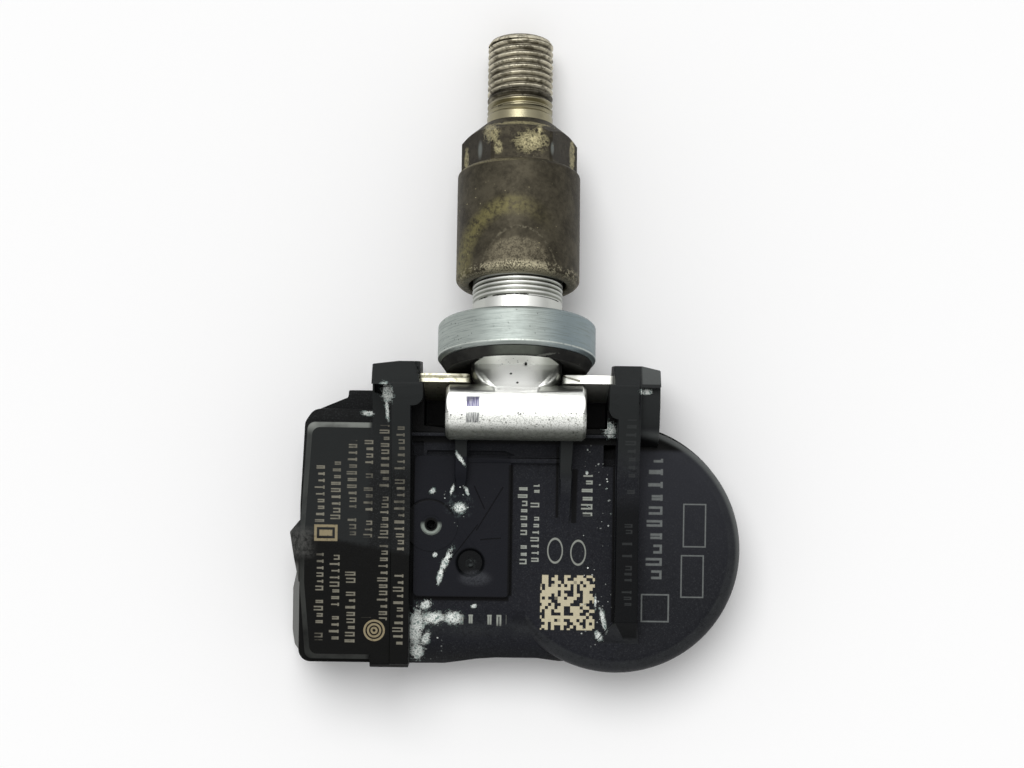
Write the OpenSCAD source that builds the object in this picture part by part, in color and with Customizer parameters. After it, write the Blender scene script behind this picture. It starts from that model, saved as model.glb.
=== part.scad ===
// Tyre pressure sensor: a moulded sensor box with a metal valve stem that swivels between its ears.
// Millimetres. +X to the right of the box, +Y toward the valve tip, +Z up.
// The origin is on the base face, straight below the swivel axis.

/* [Valve stem] */
// Height of the swivel axis above the base
pivot_z = 14.6; // [14:0.1:16]
// Diameter of the cross-bar that the stem swivels on
bar_d = 6.4; // [5.6:0.1:6.6]
// Length of the cross-bar
bar_len = 16.2; // [14:0.1:17]
// Bevel round each end of the cross-bar
bar_bevel = 0.4; // [0.2:0.1:0.8]
// Width of the flat milled along the cross-bar
bar_flat_w = 2.6; // [1:0.1:4]
// Turn of that flat from the stem's upper side toward the tip
bar_flat_turn = 11; // [0:1:30]
// Diameter of the neck that passes the wheel rim
neck_d = 10.5; // [9.6:0.1:10.8]
// Distance from the swivel axis to the full neck
neck_root = 4.7; // [4.2:0.1:5]
// Radius that blends the neck into the cross-bar
neck_blend_r = 2.3; // [1.5:0.1:2.6]
// Distance from the swivel axis to the end of the threaded neck
neck_end = 26; // [22:0.5:28]
// Diameter of the shank above the neck
shank_d = 7.75; // [7.2:0.05:7.9]
// Distance from the swivel axis to the start of the cap thread
cap_thread_at = 36; // [34:0.1:38]
// Outside diameter of the cap thread
cap_thread_d = 7.7; // [7.2:0.05:7.8]
// Distance from the swivel axis to the valve tip
tip_at = 45.3; // [43:0.1:48]
// Bevel at the valve tip
tip_bevel = 0.6; // [0.3:0.1:0.9]
// Diameter of the air way below the valve core
air_d = 2.6; // [1.5:0.1:3]

/* [Valve core] */
// Diameter of the chamber that holds the core's seal
core_chamber_d = 4.3; // [4:0.1:4.6]
// Diameter of the core's threaded seat at the tip
core_seat_d = 5.2; // [4.9:0.1:5.4]
// Depth of the threaded seat below the tip
core_seat_depth = 6.6; // [6:0.1:7.5]
// Depth of the core's head below the tip
core_inset = 1.2; // [0.6:0.1:1.8]
// Length of the core's head
core_head_len = 4; // [3:0.1:4.6]
// Diameter of the core's tube
core_tube_d = 3.7; // [3.4:0.1:3.8]
// Length of the core's tube
core_tube_len = 9; // [7:0.1:10]
// Diameter of the pin
pin_d = 1.1; // [0.8:0.1:1.3]
// Depth of the pin's end below the tip
pin_inset = 0.4; // [0.2:0.1:0.9]
// Travel of the pin when the core opens
pin_travel = 1.5; // [1:0.1:2]
// Thickness of the rubber cup on the pin
cup_t = 1.3; // [0.8:0.1:1.8]
// Diameter of the core spring's wire
spring_wire = 0.3; // [0.2:0.05:0.4]
// Number of turns of the core spring
spring_turns = 6; // [4:1:8]

/* [Seal] */
// Distance from the swivel axis to the seal's steel ring
seal_at = 5.85; // [5.7:0.05:6.4]
// Thickness of the steel ring
seal_t = 4.55; // [3.5:0.05:5.5]
// Width of the steel ring's face, from its hole to its rim
seal_w = 1.85; // [1.4:0.05:2]
// Thickness of the rubber sleeve between the neck and the ring
seal_sleeve_t = 2.05; // [1.4:0.05:2.4]
// Thickness of the rubber skirt under the ring
skirt_t = 1.1; // [0.6:0.05:1.1]
// Height of the rubber lip that meets the rim
lip_h = 0.6; // [0.3:0.1:1]

/* [Nut] */
// Distance from the swivel axis to the nut's lower face
nut_at = 15.1; // [13:0.1:17]
// Diameter of the nut's round collar
collar_d = 14.4; // [13.8:0.1:15]
// Length of the collar
collar_len = 13.8; // [12:0.1:15]
// Bevel at the collar's ends
collar_bevel = 0.5; // [0.2:0.1:0.8]
// Distance across the flats of the hexagon
hex_flats = 12; // [11:0.1:12.4]
// Diameter that the hexagon's corners are turned to
hex_corner_d = 13.6; // [13.2:0.1:13.8]
// Length of the hexagon with its cone
hex_len = 5.7; // [5:0.1:6.5]
// Length of the cone that tops the hexagon
hex_cone_len = 2.3; // [1.5:0.1:3]
// Width of the cone's flat top round the shank
hex_lip = 0.3; // [0.1:0.05:0.6]
// Turn of the hexagon about the stem
hex_turn = 2.5; // [-15:0.5:15]
// Depth of the clearance hole in the nut's lower face
nut_mouth_depth = 1.9; // [1:0.1:3]
// Room round the neck in that clearance hole
nut_mouth_room = 0.45; // [0.3:0.05:0.7]
// Thickness of the nut's top round the shank
nut_top_t = 4.6; // [3.5:0.1:5]

/* [Sensor box] */
// Height of the deck over the middle of the box
deck_z = 10.5; // [10:0.1:11.5]
// Height of the block at the left
block_z = 13; // [12.2:0.1:14]
// Thickness of the walls
wall = 1.4; // [1.1:0.1:1.7]
// Centre of the round end, to the right of the origin
disc_x = 12; // [11:0.1:12.4]
// Room between the coin cell and the round end's wall
cell_room = 0.85; // [0.4:0.05:1]
// Radius of the shoulder round the round end's top
disc_shoulder_r = 2.1; // [1:0.1:3]
// Step from the base's edge to the round end's wall
disc_step = 0.2; // [0.1:0.05:0.4]
// Distance from the origin to the left side
left_side = 25; // [24.4:0.1:26]
// Distance from the swivel axis to the back edge of the left block
back_side = 29.4; // [29:0.1:30]
// Flare of the left wall's foot, along its rear part
heel_out = 1.4; // [0.4:0.1:1.6]
// Corner radius of the left block
block_corner_r = 1.4; // [0.8:0.1:2]
// Bevel round the left block's top
block_bevel = 0.6; // [0.3:0.1:0.9]
// Height of the lower step at the left block's front
step_low_z = 7.5; // [6:0.1:8.5]
// Height of the upper step at the left block's front
step_high_z = 10.8; // [10:0.1:11.5]
// Setback of the block's top from the swivel axis
block_front = 1.4; // [1:0.1:2.2]
// Setback of the block's top from the left side, at its front and back ends
top_inset = 0.8; // [0.3:0.1:1]
// Reach of the low ledge in front of the left block
ledge_front = 2.3; // [1.6:0.1:2.6]
// Height of the raised pad on the deck
pad_rise = 0.8; // [0.4:0.1:1.2]
// Width of the raised pad
pad_w = 11.2; // [10.5:0.1:11.4]
// Length of the raised pad
pad_len = 16.4; // [15:0.1:17]
// Diameter of the pressure port's hole
port_d = 1.1; // [0.8:0.1:1.4]
// Diameter of the raised ring round the port
port_ring_d = 2.1; // [1.8:0.1:2.6]
// Diameter of the round dimple on the pad
dimple_d = 3.6; // [3:0.1:4.2]

/* [Ears and cradle] */
// Distance between the ears' inner faces
ear_gap = 21.4; // [20.6:0.1:21.8]
// Distance from the origin to the ears' outer faces
ear_out = 16.6; // [16.2:0.1:17]
// Height of the ears
ear_z = 17.6; // [17:0.1:18.6]
// Distance from the swivel axis to the front of the ears' heads
head_front = 5.8; // [5.4:0.1:6.2]
// Distance from the swivel axis to the back of the ears' heads
head_back = 3.4; // [3.2:0.05:3.6]
// Width of each ear's inner block
ear_block_w = 3.5; // [3:0.1:3.8]
// Distance that the right ear's inner block reaches behind the swivel axis
ear_block_back = 0.6; // [0.3:0.1:1.5]
// Distance by which the left ear's inner block is shorter
left_block_short = 1.3; // [0.8:0.1:1.6]
// Corner radius of the ears' inner blocks
ear_block_r = 1.2; // [0.6:0.1:1.6]
// Height of the ribs that run back from the ears
rib_z = 13.3; // [13.2:0.1:14.2]
// Length over which each rib falls from its ear's head to that height
rib_fall_len = 13; // [10:0.5:16]
// Width of the left rib
rib_left_w = 2.2; // [1.8:0.1:2.4]
// Width of the right rib
rib_right_w = 2.6; // [2.2:0.1:2.8]
// Length of the right rib behind the swivel axis
rib_right_len = 26.8; // [25:0.1:27.6]
// Height of the low wall under the cross-bar's rear edge
back_wall_z = 12.2; // [11.6:0.1:12.8]
// Thickness of that wall
back_wall_t = 0.4; // [0.3:0.05:0.6]
// Distance from the swivel axis to the rear face of that wall
wall_back = 2.85; // [2.7:0.05:3]
// Width of the two bracing ribs behind that wall
brace_w = 1.4; // [1.1:0.1:1.8]
// Height of the floor under the cross-bar
floor_z = 3.8; // [3.2:0.1:4]
// Distance from the swivel axis to the front of that floor
floor_front = 3; // [2.6:0.1:3.2]
// Width of each saddle that carries the cross-bar
saddle_w = 2.5; // [2:0.1:3]
// Distance from the swivel axis to the rear wall of the well below the cross-bar
well_back = 1.8; // [1.5:0.1:2.2]
// Radius of the roll behind the right ear's head
roll_r = 6; // [5:0.1:6.2]
// Distance from the swivel axis to the foot of that roll
roll_end = 3.85; // [3.4:0.05:4.2]

/* [Retaining clip] */
// Thickness of the clip's plate
clip_t = 1; // [0.8:0.05:1.1]
// Depth that each end of the clip reaches into its ear
clip_seat = 1.2; // [0.9:0.1:1.4]
// Height of the clip's prongs above the swivel axis
clip_rise = 1; // [0.6:0.1:1.2]
// Height of the clip's prongs above its lower edge
clip_h = 9.4; // [9:0.1:9.8]
// Lean of the plate, its lower edge toward the box
clip_lean = 14; // [12.5:0.5:15]

/* [Base cover] */
// Thickness of the base cover
cover_t = 1.2; // [1:0.1:1.6]
// Height of the ridge that locates the cover inside the walls
ridge_h = 0.7; // [0.4:0.1:0.9]

/* [Electronics] */
// Diameter of the coin cell
cell_d = 24.5; // [23:0.1:25]
// Thickness of the coin cell
cell_t = 4.9; // [4:0.1:5]
// Height of the circuit board's underside
board_z = 6.8; // [6.7:0.05:7]
// Thickness of the circuit board
board_t = 0.8; // [0.6:0.1:1]
// Size of the sensor chip's square
chip_w = 6; // [5:0.1:7]
// Height of the sensor chip
chip_h = 1; // [0.8:0.05:1.1]
// Length of the low-frequency coil
coil_len = 8; // [7:0.1:9]
// Width of the low-frequency coil
coil_w = 3; // [2.6:0.1:3.4]
// Thickness of the metal strip in the tabs and the antenna
strip_t = 0.15; // [0.1:0.01:0.2]
// Length of each small component
comp_len = 1; // [0.6:0.1:1.2]
// Spacing of the small components along a row
comp_pitch = 2; // [1.6:0.1:2.2]
// Distance from the swivel axis to the front row of small components
comp_back = 19; // [18.5:0.1:19.5]
// Length of the crystal's case
crystal_len = 3.2; // [2.5:0.1:3.4]
// Width of the crystal's case
crystal_w = 2.5; // [2:0.1:2.6]
// Height of the crystal's case
crystal_h = 0.8; // [0.6:0.05:1]

/* [Hidden] */
$fn = 64;

// Clearances: a running fit, a loose fit, and the overlap of a cut past a face
run_gap = 0.05;
loose_gap = 0.1;
cut = 0.5;

// The stem leans down until the edge of its tip is level with the base
tip_edge = tip_at - tip_bevel;
stem_droop = asin(pivot_z / norm([tip_edge, cap_thread_d / 2])) - atan(cap_thread_d / 2 / tip_edge);

// Places that several pieces share
ear_in = ear_gap / 2;
rib_left_in = ear_in + 1.4;
rib_right_in = ear_in + 1.1;
rib_left_out = rib_left_in + rib_left_w;
cradle_back = bar_d / 2 + loose_gap;
cell_gap = 0.5;
cavity_front = well_back + wall;
disc_back = cavity_front + cell_gap + cell_d / 2;
disc_r = cell_d / 2 + cell_room + wall + disc_step;
disc_at = [disc_x, -disc_back];
lens_from = 22;
lens_r = 9.9;
pad_at = [-11.7, -21.6];
port_at = [-9.7, -13.2];
dimple_at = [-5.1, -17.6];
ceiling = deck_z - wall;
block_ceiling = block_z - wall;
cell_z = cover_t + 0.3;
board_top = board_z + board_t;

// Outline tools

// Unit normal on the right of the way from a to b
function outward(a, b) = [b.y - a.y, a.x - b.x] / norm(b - a);

// Convex outline with round corners: c holds the arcs' centres, counter-clockwise
module rounded(c, r) {
    n = len(c);
    for (p = c) translate(p) circle(r);
    polygon([for (i = [0:n - 1]) for (k = [n - 1, n])
        c[i] + r * outward(c[(i + k) % n], c[(i + k + 1) % n])]);
}

// Rounded rectangle between two corners
module plate(low, high, r) {
    a = low + [r, r];
    b = high - [r, r];
    rounded([a, [b.x, a.y], b, [a.x, b.y]], r);
}

// Box between two corners
module block(low, high) {
    translate(low) cube(high - low);
}

// Side view drawn in Y and Z, as thick as the stretch from x0 to x1
module side_view(x0, x1, points) {
    translate([x0, 0, 0]) rotate([90, 0, 90]) linear_extrude(x1 - x0) polygon(points);
}

// Places its children with +Z along the stem, at a distance from the swivel axis
module on_stem(distance = 0) {
    translate([0, 0, pivot_z]) rotate([-90 - stem_droop, 0, 0]) translate([0, 0, distance]) children();
}

// Tube along the stem
module tube(d, hole, h) {
    difference() {
        cylinder(d = d, h = h);
        translate([0, 0, -cut]) cylinder(d = hole, h = h + 2 * cut);
    }
}

// Valve stem

module cross_bar() {
    rotate([0, 90, 0]) {
        cylinder(d = bar_d, h = bar_len - 2 * bar_bevel, center = true);
        for (s = [0, 1]) mirror([0, 0, s]) translate([0, 0, bar_len / 2 - bar_bevel])
            cylinder(d1 = bar_d, d2 = bar_d - 2 * bar_bevel, h = bar_bevel);
    }
}

// Flat milled along the cross-bar, as the stock that is cut away; it nicks the foot of the blend
module bar_flat() {
    height = sqrt(pow(bar_d / 2, 2) - pow(bar_flat_w / 2, 2));
    nick = 0.3;
    rotate([90 - bar_flat_turn, 0, 0]) translate([-bar_len, -bar_flat_w / 2 - nick, height])
        cube([2 * bar_len, bar_d, bar_d]);
}

// Turned outline of the stem, from the blend at its root to its tip
module stem_outline() {
    blend = [for (t = [75:-15:0])
        [neck_d / 2 - neck_blend_r * (1 - cos(t)), neck_root - neck_blend_r * sin(t)]];
    rotate_extrude() polygon(concat([[0, 0], [blend[0].x, 0]], blend, [
        [neck_d / 2, neck_end - 0.6],
        [neck_d / 2 - 0.6, neck_end],
        [shank_d / 2, neck_end],
        [shank_d / 2, cap_thread_at - 0.3],
        [cap_thread_d / 2 - 0.3, cap_thread_at],
        [cap_thread_d / 2, cap_thread_at + 0.3],
        [cap_thread_d / 2, tip_edge],
        [cap_thread_d / 2 - tip_bevel / 2, tip_at - tip_bevel / 4],
        [cap_thread_d / 2 - tip_bevel, tip_at],
        [0, tip_at]
    ]));
}

// Distances along the core, from the tip inward
head_top = tip_at - core_inset;
head_low = head_top - core_head_len;
gasket_low = tip_at - core_seat_depth;
tube_low = head_low - core_tube_len;
chamber_low = tube_low - cup_t - pin_travel - 1;

// Air way from the core's chamber to the underside of the cross-bar
module air_way() {
    cylinder(d = air_d, h = chamber_low + cut);
    rotate([-90, 0, 0]) cylinder(d = air_d, h = bar_d);
}

module valve_stem() {
    color("#b9bab4") on_stem() difference() {
        union() {
            cross_bar();
            stem_outline();
        }
        bar_flat();
        air_way();
        translate([0, 0, chamber_low]) cylinder(d = core_chamber_d, h = tip_at - chamber_low);
        translate([0, 0, gasket_low]) cylinder(d = core_seat_d, h = core_seat_depth + cut);
    }
}

// Valve core

module core_barrel() {
    bridge_w = 2.2;
    color("#a98f4a") on_stem() difference() {
        union() {
            translate([0, 0, head_low]) cylinder(d = core_seat_d - 2 * run_gap, h = core_head_len);
            translate([0, 0, tube_low]) cylinder(d = core_tube_d, h = core_tube_len + cut);
        }
        translate([0, 0, tube_low - cut]) cylinder(d = pin_d + 2 * loose_gap, h = tip_at);
        translate([0, 0, spring_low]) cylinder(d = spring_room_d, h = head_low - spring_low + 1);
        for (s = [0, 1]) mirror([0, s, 0]) translate([-core_seat_d, bridge_w / 2, head_top - 2.2])
            cube([2 * core_seat_d, core_seat_d, 2.2 + cut]);
    }
}

module core_gasket() {
    h = head_low - gasket_low - run_gap;
    color("#e8e4d6") on_stem(gasket_low) tube(core_seat_d - 2 * run_gap, core_tube_d + 2 * run_gap, h);
}

spring_room_d = core_tube_d - 1;
spring_low = tube_low + 1.2;
pin_collar_t = 0.6;
collar_low = head_low - pin_collar_t;
spring_d = spring_room_d - 2 * loose_gap;
cup_low = tube_low - cup_t - run_gap;
pin_foot_t = 0.5;

module core_pin() {
    pin_low = cup_low - pin_foot_t / 2;
    color("#c9b26b") on_stem() {
        translate([0, 0, cup_low - pin_foot_t]) cylinder(d = pin_d + 1, h = pin_foot_t);
        translate([0, 0, pin_low]) cylinder(d = pin_d, h = tip_at - pin_inset - pin_low);
        translate([0, 0, collar_low]) cylinder(d = spring_d, h = pin_collar_t);
    }
}

module core_cup() {
    color("#1c1c1c") on_stem(cup_low) tube(core_tube_d - 2 * loose_gap, pin_d + 2 * run_gap, cup_t);
}

// Ring of points round one place on the spring's wire
function wire_ring(at, along, sides) =
    let(radial = [at.x, at.y, 0] / norm([at.x, at.y]), up = cross(radial, along / norm(along)))
    [for (k = [0:sides - 1]) let(turn = 360 * k / sides)
        at + spring_wire / 2 * (cos(turn) * radial + sin(turn) * up)];

module core_spring() {
    sides = 6;
    per_turn = 14;
    last = spring_turns * per_turn;
    r = spring_d / 2 - spring_wire / 2;
    rise = collar_low - spring_low - spring_wire - 2 * run_gap;
    points = [for (i = [0:last]) let(turn = 360 * i / per_turn)
        each wire_ring([r * cos(turn), r * sin(turn), spring_wire / 2 + rise * i / last],
            [-r * sin(turn), r * cos(turn), rise / last], sides)];
    walls = [for (i = [0:last - 1]) for (k = [0:sides - 1]) let(next = (k + 1) % sides)
        each [[i * sides + k, (i + 1) * sides + next, (i + 1) * sides + k],
            [i * sides + k, i * sides + next, (i + 1) * sides + next]]];
    ends = [[for (k = [sides - 1:-1:0]) k], [for (k = [0:sides - 1]) last * sides + k]];
    color("#8f9396") on_stem(spring_low + run_gap) polyhedron(points, concat(walls, ends));
}

// Seal

seal_hole_d = neck_d + 2 * seal_sleeve_t;
seal_d = seal_hole_d + 2 * seal_w;

module seal_ring() {
    edge = 0.35;
    inner = seal_hole_d / 2;
    outer = seal_d / 2;
    color("#7f8b8e") on_stem(seal_at) rotate_extrude() polygon([
        [inner, 0], [outer - edge, 0], [outer, edge], [outer, seal_t - edge],
        [outer - edge, seal_t], [inner, seal_t]
    ]);
}

module seal_rubber() {
    inner = neck_d / 2 + run_gap;
    sleeve = seal_hole_d / 2 - run_gap;
    color("#1b1c1c") on_stem(seal_at) rotate_extrude() polygon([
        [inner, -skirt_t], [seal_d / 2 - 1.05, -skirt_t], [seal_d / 2 - 0.35, -run_gap],
        [sleeve, -run_gap], [sleeve, seal_t], [sleeve - 0.7, seal_t + lip_h], [inner + 0.4, seal_t + lip_h],
        [inner, seal_t + lip_h - 0.3]
    ]);
}

// Nut

module nut_outline() {
    cylinder(d1 = collar_d - 2 * collar_bevel, d2 = collar_d, h = collar_bevel);
    translate([0, 0, collar_bevel]) cylinder(d = collar_d, h = collar_len - 2 * collar_bevel);
    translate([0, 0, collar_len - collar_bevel])
        cylinder(d1 = collar_d, d2 = hex_corner_d - collar_bevel, h = collar_bevel);
    intersection() {
        translate([0, 0, collar_len - cut]) rotate([0, 0, hex_turn])
            cylinder(r = hex_flats / 2 / cos(30), h = hex_len + cut, $fn = 6);
        union() {
            translate([0, 0, collar_len - cut]) cylinder(d = hex_corner_d, h = hex_len - hex_cone_len + cut);
            translate([0, 0, collar_len + hex_len - hex_cone_len])
                cylinder(d1 = hex_corner_d, d2 = shank_d + 2 * hex_lip, h = hex_cone_len);
        }
    }
}

module valve_nut() {
    length = collar_len + hex_len;
    color("#4a4136") on_stem(nut_at) difference() {
        nut_outline();
        translate([0, 0, -cut]) cylinder(d = neck_d + 2 * nut_mouth_room, h = nut_mouth_depth + cut);
        translate([0, 0, -cut]) cylinder(d = neck_d + 2 * run_gap, h = length - nut_top_t + cut);
        translate([0, 0, -cut]) cylinder(d = shank_d + 2 * loose_gap, h = length + 2 * cut);
    }
}

// Retaining clip: a U-shaped plate that stands between the ears, open at the top

clip_slot_r = neck_d / 2 + loose_gap;
clip_yoke = 2;

// Plate with its prongs' tops on the X axis, larger all round by a gap
module clip_plate(gap) {
    tip_r = 0.5;
    half_w = ear_in + clip_seat + gap;
    slot_r = clip_slot_r - gap;
    linear_extrude(clip_t + 2 * gap, center = true) difference() {
        plate([-half_w, -clip_h - gap], [half_w, gap], 1.2);
        translate([0, clip_yoke + clip_slot_r - clip_h]) {
            circle(slot_r);
            translate([-slot_r, 0]) square([2 * slot_r, clip_h]);
        }
        for (s = [0, 1]) mirror([s, 0]) difference() {
            translate([slot_r - cut, gap - tip_r]) square(tip_r + cut);
            translate([slot_r + tip_r, gap - tip_r]) circle(tip_r);
        }
    }
}

// Places the plate in front of the cross-bar, which runs clear of its rear face
module on_clip() {
    translate([0, 0, pivot_z]) rotate([90 - clip_lean, 0, 0])
        translate([0, clip_rise, -bar_d / 2 - loose_gap - clip_t / 2]) children();
}

module retaining_clip() {
    color("#e4e3da") on_clip() clip_plate(0);
}

// Sensor box

// Outline of the box's middle, from the left block to the round end
module middle_plan() {
    polygon([[-rib_left_out, -wall_back], [disc_x, -wall_back], [disc_x, -28.9], [5.4, -29.3], [2.9, -28.95],
        [-1.9, -28.95], [-4.3, -29.15], [-6.1, -29.45], [-8, -29.75], [-rib_left_in, -back_side - 0.4],
        [-rib_left_out, -back_side - 0.4]]);
}

// Outline of the left block, without its front ledge
module block_plan() {
    r = block_corner_r;
    x = -left_side + r;
    y = -back_side + r;
    far = 0.1 - r;
    rounded([[x, y], [-ear_out + 2, y], [-ear_out + 2, far], [x + 0.8, far], [x + 0.4, far - 0.6],
        [x, -11]], r);
}

// Outline of the block's top, widest halfway along its left side
module top_plan(inset) {
    r = 0.9;
    x = -left_side + inset + r;
    low = -back_side + 0.5 + inset + r;
    far = -block_front - inset - r;
    rounded([[x + top_inset, low], [-ear_out + 2, low], [-ear_out + 2, far], [x + top_inset, far],
        [x + 0.1, -14], [x + 0.1, -20]], r);
}

// Low ledge in front of the left block, cut back toward its left corner
module ledge_plan() {
    left = -ear_out - 3.1;
    polygon([[-ear_out + 1, ledge_front], [left, ledge_front], [left, ledge_front - 0.8],
        [-left_side + 2, 0.1], [-left_side + 2, -2], [-ear_out + 1, -2]]);
}

module left_block() {
    linear_extrude(step_low_z) ledge_plan();
    linear_extrude(step_high_z) block_plan();
    hull() {
        linear_extrude(block_z - block_bevel) top_plan(0);
        linear_extrude(block_z) top_plan(block_bevel);
    }
}

// Front view drawn in X and Z, as thick as the stretch from y0 to y1
module front_view(y0, y1, points) {
    translate([0, y1, 0]) rotate([90, 0, 0]) linear_extrude(y1 - y0) polygon(points);
}

// Pried edge on the left side, where the moulding bulges out
module pried_edge() {
    out = 1.2;
    x = -left_side;
    intersection() {
        linear_extrude(block_z) polygon([[x + 2, -11.5], [x, -12.9], [x - out, -14.3],
            [x - out + 0.5, -17], [x, -20], [x + 2, -21]]);
        front_view(-21, -11, [[x + 2, step_low_z], [x - out, step_low_z], [x - out, step_high_z],
            [x + block_bevel + 0.2, block_z], [x + 2, block_z]]);
    }
}

// Foot of the left wall, which flares out toward the base
module heel_plan() {
    x = -left_side;
    polygon([[x + 1, -17.4], [x - heel_out / 2, -19], [x - heel_out, -21.5], [x - heel_out, -26.4],
        [x - heel_out * 0.7, -28], [x + 1, -back_side + 0.4]]);
}

module heel() {
    x = -left_side;
    intersection() {
        linear_extrude(step_low_z) heel_plan();
        front_view(-back_side, -17, [[x + 1, 0], [x - heel_out, 0], [x - heel_out, cover_t],
            [x - 0.1, step_low_z], [x + 1, step_low_z]]);
    }
}

module round_end() {
    r = disc_r - disc_step;
    s = disc_shoulder_r;
    translate(disc_at) {
        cylinder(r = disc_r, h = 2.6);
        rotate_extrude() {
            polygon([[0, 0], [r, 0], [r, deck_z - s], [r - s, deck_z], [0, deck_z]]);
            translate([r - s, deck_z - s]) intersection() {
                circle(s);
                square(s);
            }
        }
    }
}

// Middle of the box: a flat deck that rolls down to the back edge
module middle() {
    intersection() {
        linear_extrude(deck_z) middle_plan();
        union() {
            block([-left_side, -lens_from, 0], [left_side, 0, deck_z]);
            translate([-left_side, -lens_from, deck_z - lens_r]) rotate([0, 90, 0])
                cylinder(r = lens_r, h = 2 * left_side);
        }
    }
}

// Height of an ear and its rib at a place behind the head: one even fall
function fall(y) = rib_z + (ear_z - rib_z) * (1 + cos(180 * min(1, (head_back - y) / rib_fall_len))) / 2;

// Points along that fall, from the head to a place behind it
function fall_points(end, steps) =
    [for (i = [0:steps]) let(y = head_back - (head_back - end) * i / steps) [y, fall(y)]];

// The right head stands this much behind the left one
head_lag = 0.25;

// Ear on one side: the head with its sloping front, and the inner block
module ear(side) {
    head_drop = 2.6;
    head_t = 0.3;
    front = side > 0 ? head_front - head_lag : head_front;
    back = side > 0 ? -ear_block_back : left_block_short - ear_block_back;
    x0 = side > 0 ? ear_in + 0.6 : -ear_out;
    x1 = side > 0 ? ear_out : -ear_in - 0.4;
    side_view(x0, x1, [[floor_front - 1, cover_t], [floor_front, cover_t], [front, 5],
        [front, ear_z - head_drop], [head_back, ear_z], [head_back - head_t, ear_z],
        [head_back - head_t, deck_z], [floor_front - 1, deck_z]]);
    xa = side > 0 ? ear_in : -ear_in - ear_block_w;
    xb = xa + ear_block_w;
    block([xa, -wall_back, cover_t], [xb, floor_front, deck_z]);
    intersection() {
        side_view(xa, xb, concat([[back, deck_z - cut], [head_back, deck_z - cut]], fall_points(back, 4)));
        linear_extrude(2 * ear_z) plate([xa, back], [xb, head_front + ear_block_r], ear_block_r);
    }
}

// Rib that runs back from an ear and falls to the rib's own height
module rib(x0, x1, back) {
    side_view(x0, x1, concat([[-back, deck_z - 1], [head_back, deck_z - 1]],
        fall_points(head_back - rib_fall_len, 10), [[-back, rib_z]]));
}

// Left flank of the left ear, lower than its rib
module left_flank() {
    side_view(-ear_out, -rib_left_out + cut, [[-6, cover_t], [floor_front, cover_t], [floor_front, deck_z],
        [head_back, deck_z], [head_back, block_z + 1.5], [-1.2, block_z + 0.2], [-4, block_z],
        [-6, block_z]]);
    side_view(-ear_out, -rib_left_in, [[-back_side - 0.4, cover_t], [-block_front - 1, cover_t],
        [-block_front - 1, block_z], [-back_side, block_z], [-back_side - 0.4, block_z - 0.5]]);
}

// Small pocket behind the left head, as the stock that is cut away
module left_pocket() {
    block([-ear_out + 0.2, 2, block_z - 0.4], [-ear_out + 1.2, head_back - 0.3, ear_z]);
}

// Right flank of the right ear: a roll that falls from the head to the round end
module right_flank() {
    x0 = ear_in + ear_block_w - cut;
    block([x0, -roll_end, cover_t], [ear_out, floor_front, deck_z]);
    intersection() {
        translate([x0, roll_r - roll_end, deck_z - 0.2]) rotate([0, 90, 0])
            cylinder(r = roll_r, h = ear_out - x0);
        block([x0, -roll_end, deck_z - 0.2], [ear_out, head_back, ear_z]);
    }
}

module right_rib() {
    x0 = rib_right_in;
    x1 = rib_right_in + rib_right_w;
    foot = 2.6;
    rib(x0, x1, rib_right_len - foot);
    hull() {
        block([x0, foot - rib_right_len, deck_z - 1], [x1, foot - rib_right_len + 0.01, rib_z]);
        block([x0 - 2.3, -rib_right_len, deck_z - 1], [x1 + 0.3, -rib_right_len + 0.01, deck_z]);
    }
}

// Low wall under the cross-bar's rear edge, the bracing ribs behind it and the bar between them
brace_back = 6.7;

module cradle_wall() {
    block([-rib_left_in - cut, -wall_back, deck_z - cut],
        [rib_right_in + cut, back_wall_t - wall_back, back_wall_z]);
    brace(-7, -11.1, 0.1);
    brace(5.2, -13.2, 1);
    block([-5.6 - cut, -5.9, ceiling], [5.2 + cut, -5.35, deck_z + pad_rise + 0.15]);
}

// Bracing rib, which ramps down and narrows to its rear end
module brace(x, ramp_end, tip_w) {
    top = pivot_z - bar_d / 4;
    mid = x + brace_w / 2;
    intersection() {
        side_view(x, x + brace_w, [[-wall_back, ceiling], [-wall_back, top], [-brace_back, top],
            [ramp_end, deck_z], [ramp_end, ceiling]]);
        linear_extrude(ear_z) polygon([[x, 0], [x, -brace_back - 1], [mid - tip_w / 2, ramp_end],
            [mid + tip_w / 2, ramp_end], [x + brace_w, -brace_back - 1], [x + brace_w, 0]]);
    }
}

// Floor and saddles under the cross-bar
saddle_front = 1.2;

module cradle_base() {
    block([-ear_in - cut, -wall_back, cover_t], [ear_in + cut, floor_front, floor_z]);
    block([-ear_in - cut, -wall_back, cover_t], [ear_in + cut, -well_back, deck_z]);
    for (s = [0, 1]) mirror([s, 0, 0])
        block([bar_len / 2 - saddle_w, -wall_back, cover_t],
            [bar_len / 2 + loose_gap, saddle_front, pivot_z - bar_d / 4]);
}

// Room for the cross-bar and its ends
module cradle_room() {
    end = bar_len / 2 + loose_gap;
    translate([0, 0, pivot_z]) rotate([0, 90, 0])
        cylinder(d = bar_d + 2 * run_gap, h = 2 * end, center = true);
    block([-end, -cradle_back, pivot_z], [end, floor_front + cut, ear_z + cut]);
}

module pad() {
    translate([0, 0, deck_z - 1]) linear_extrude(1 + pad_rise) plate(pad_at, pad_at + [pad_w, pad_len], 0.7);
    translate([port_at.x, port_at.y, deck_z]) {
        cylinder(d = 6.2, h = pad_rise + 0.12);
        cylinder(d = port_ring_d, h = pad_rise + 0.4);
    }
}

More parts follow.
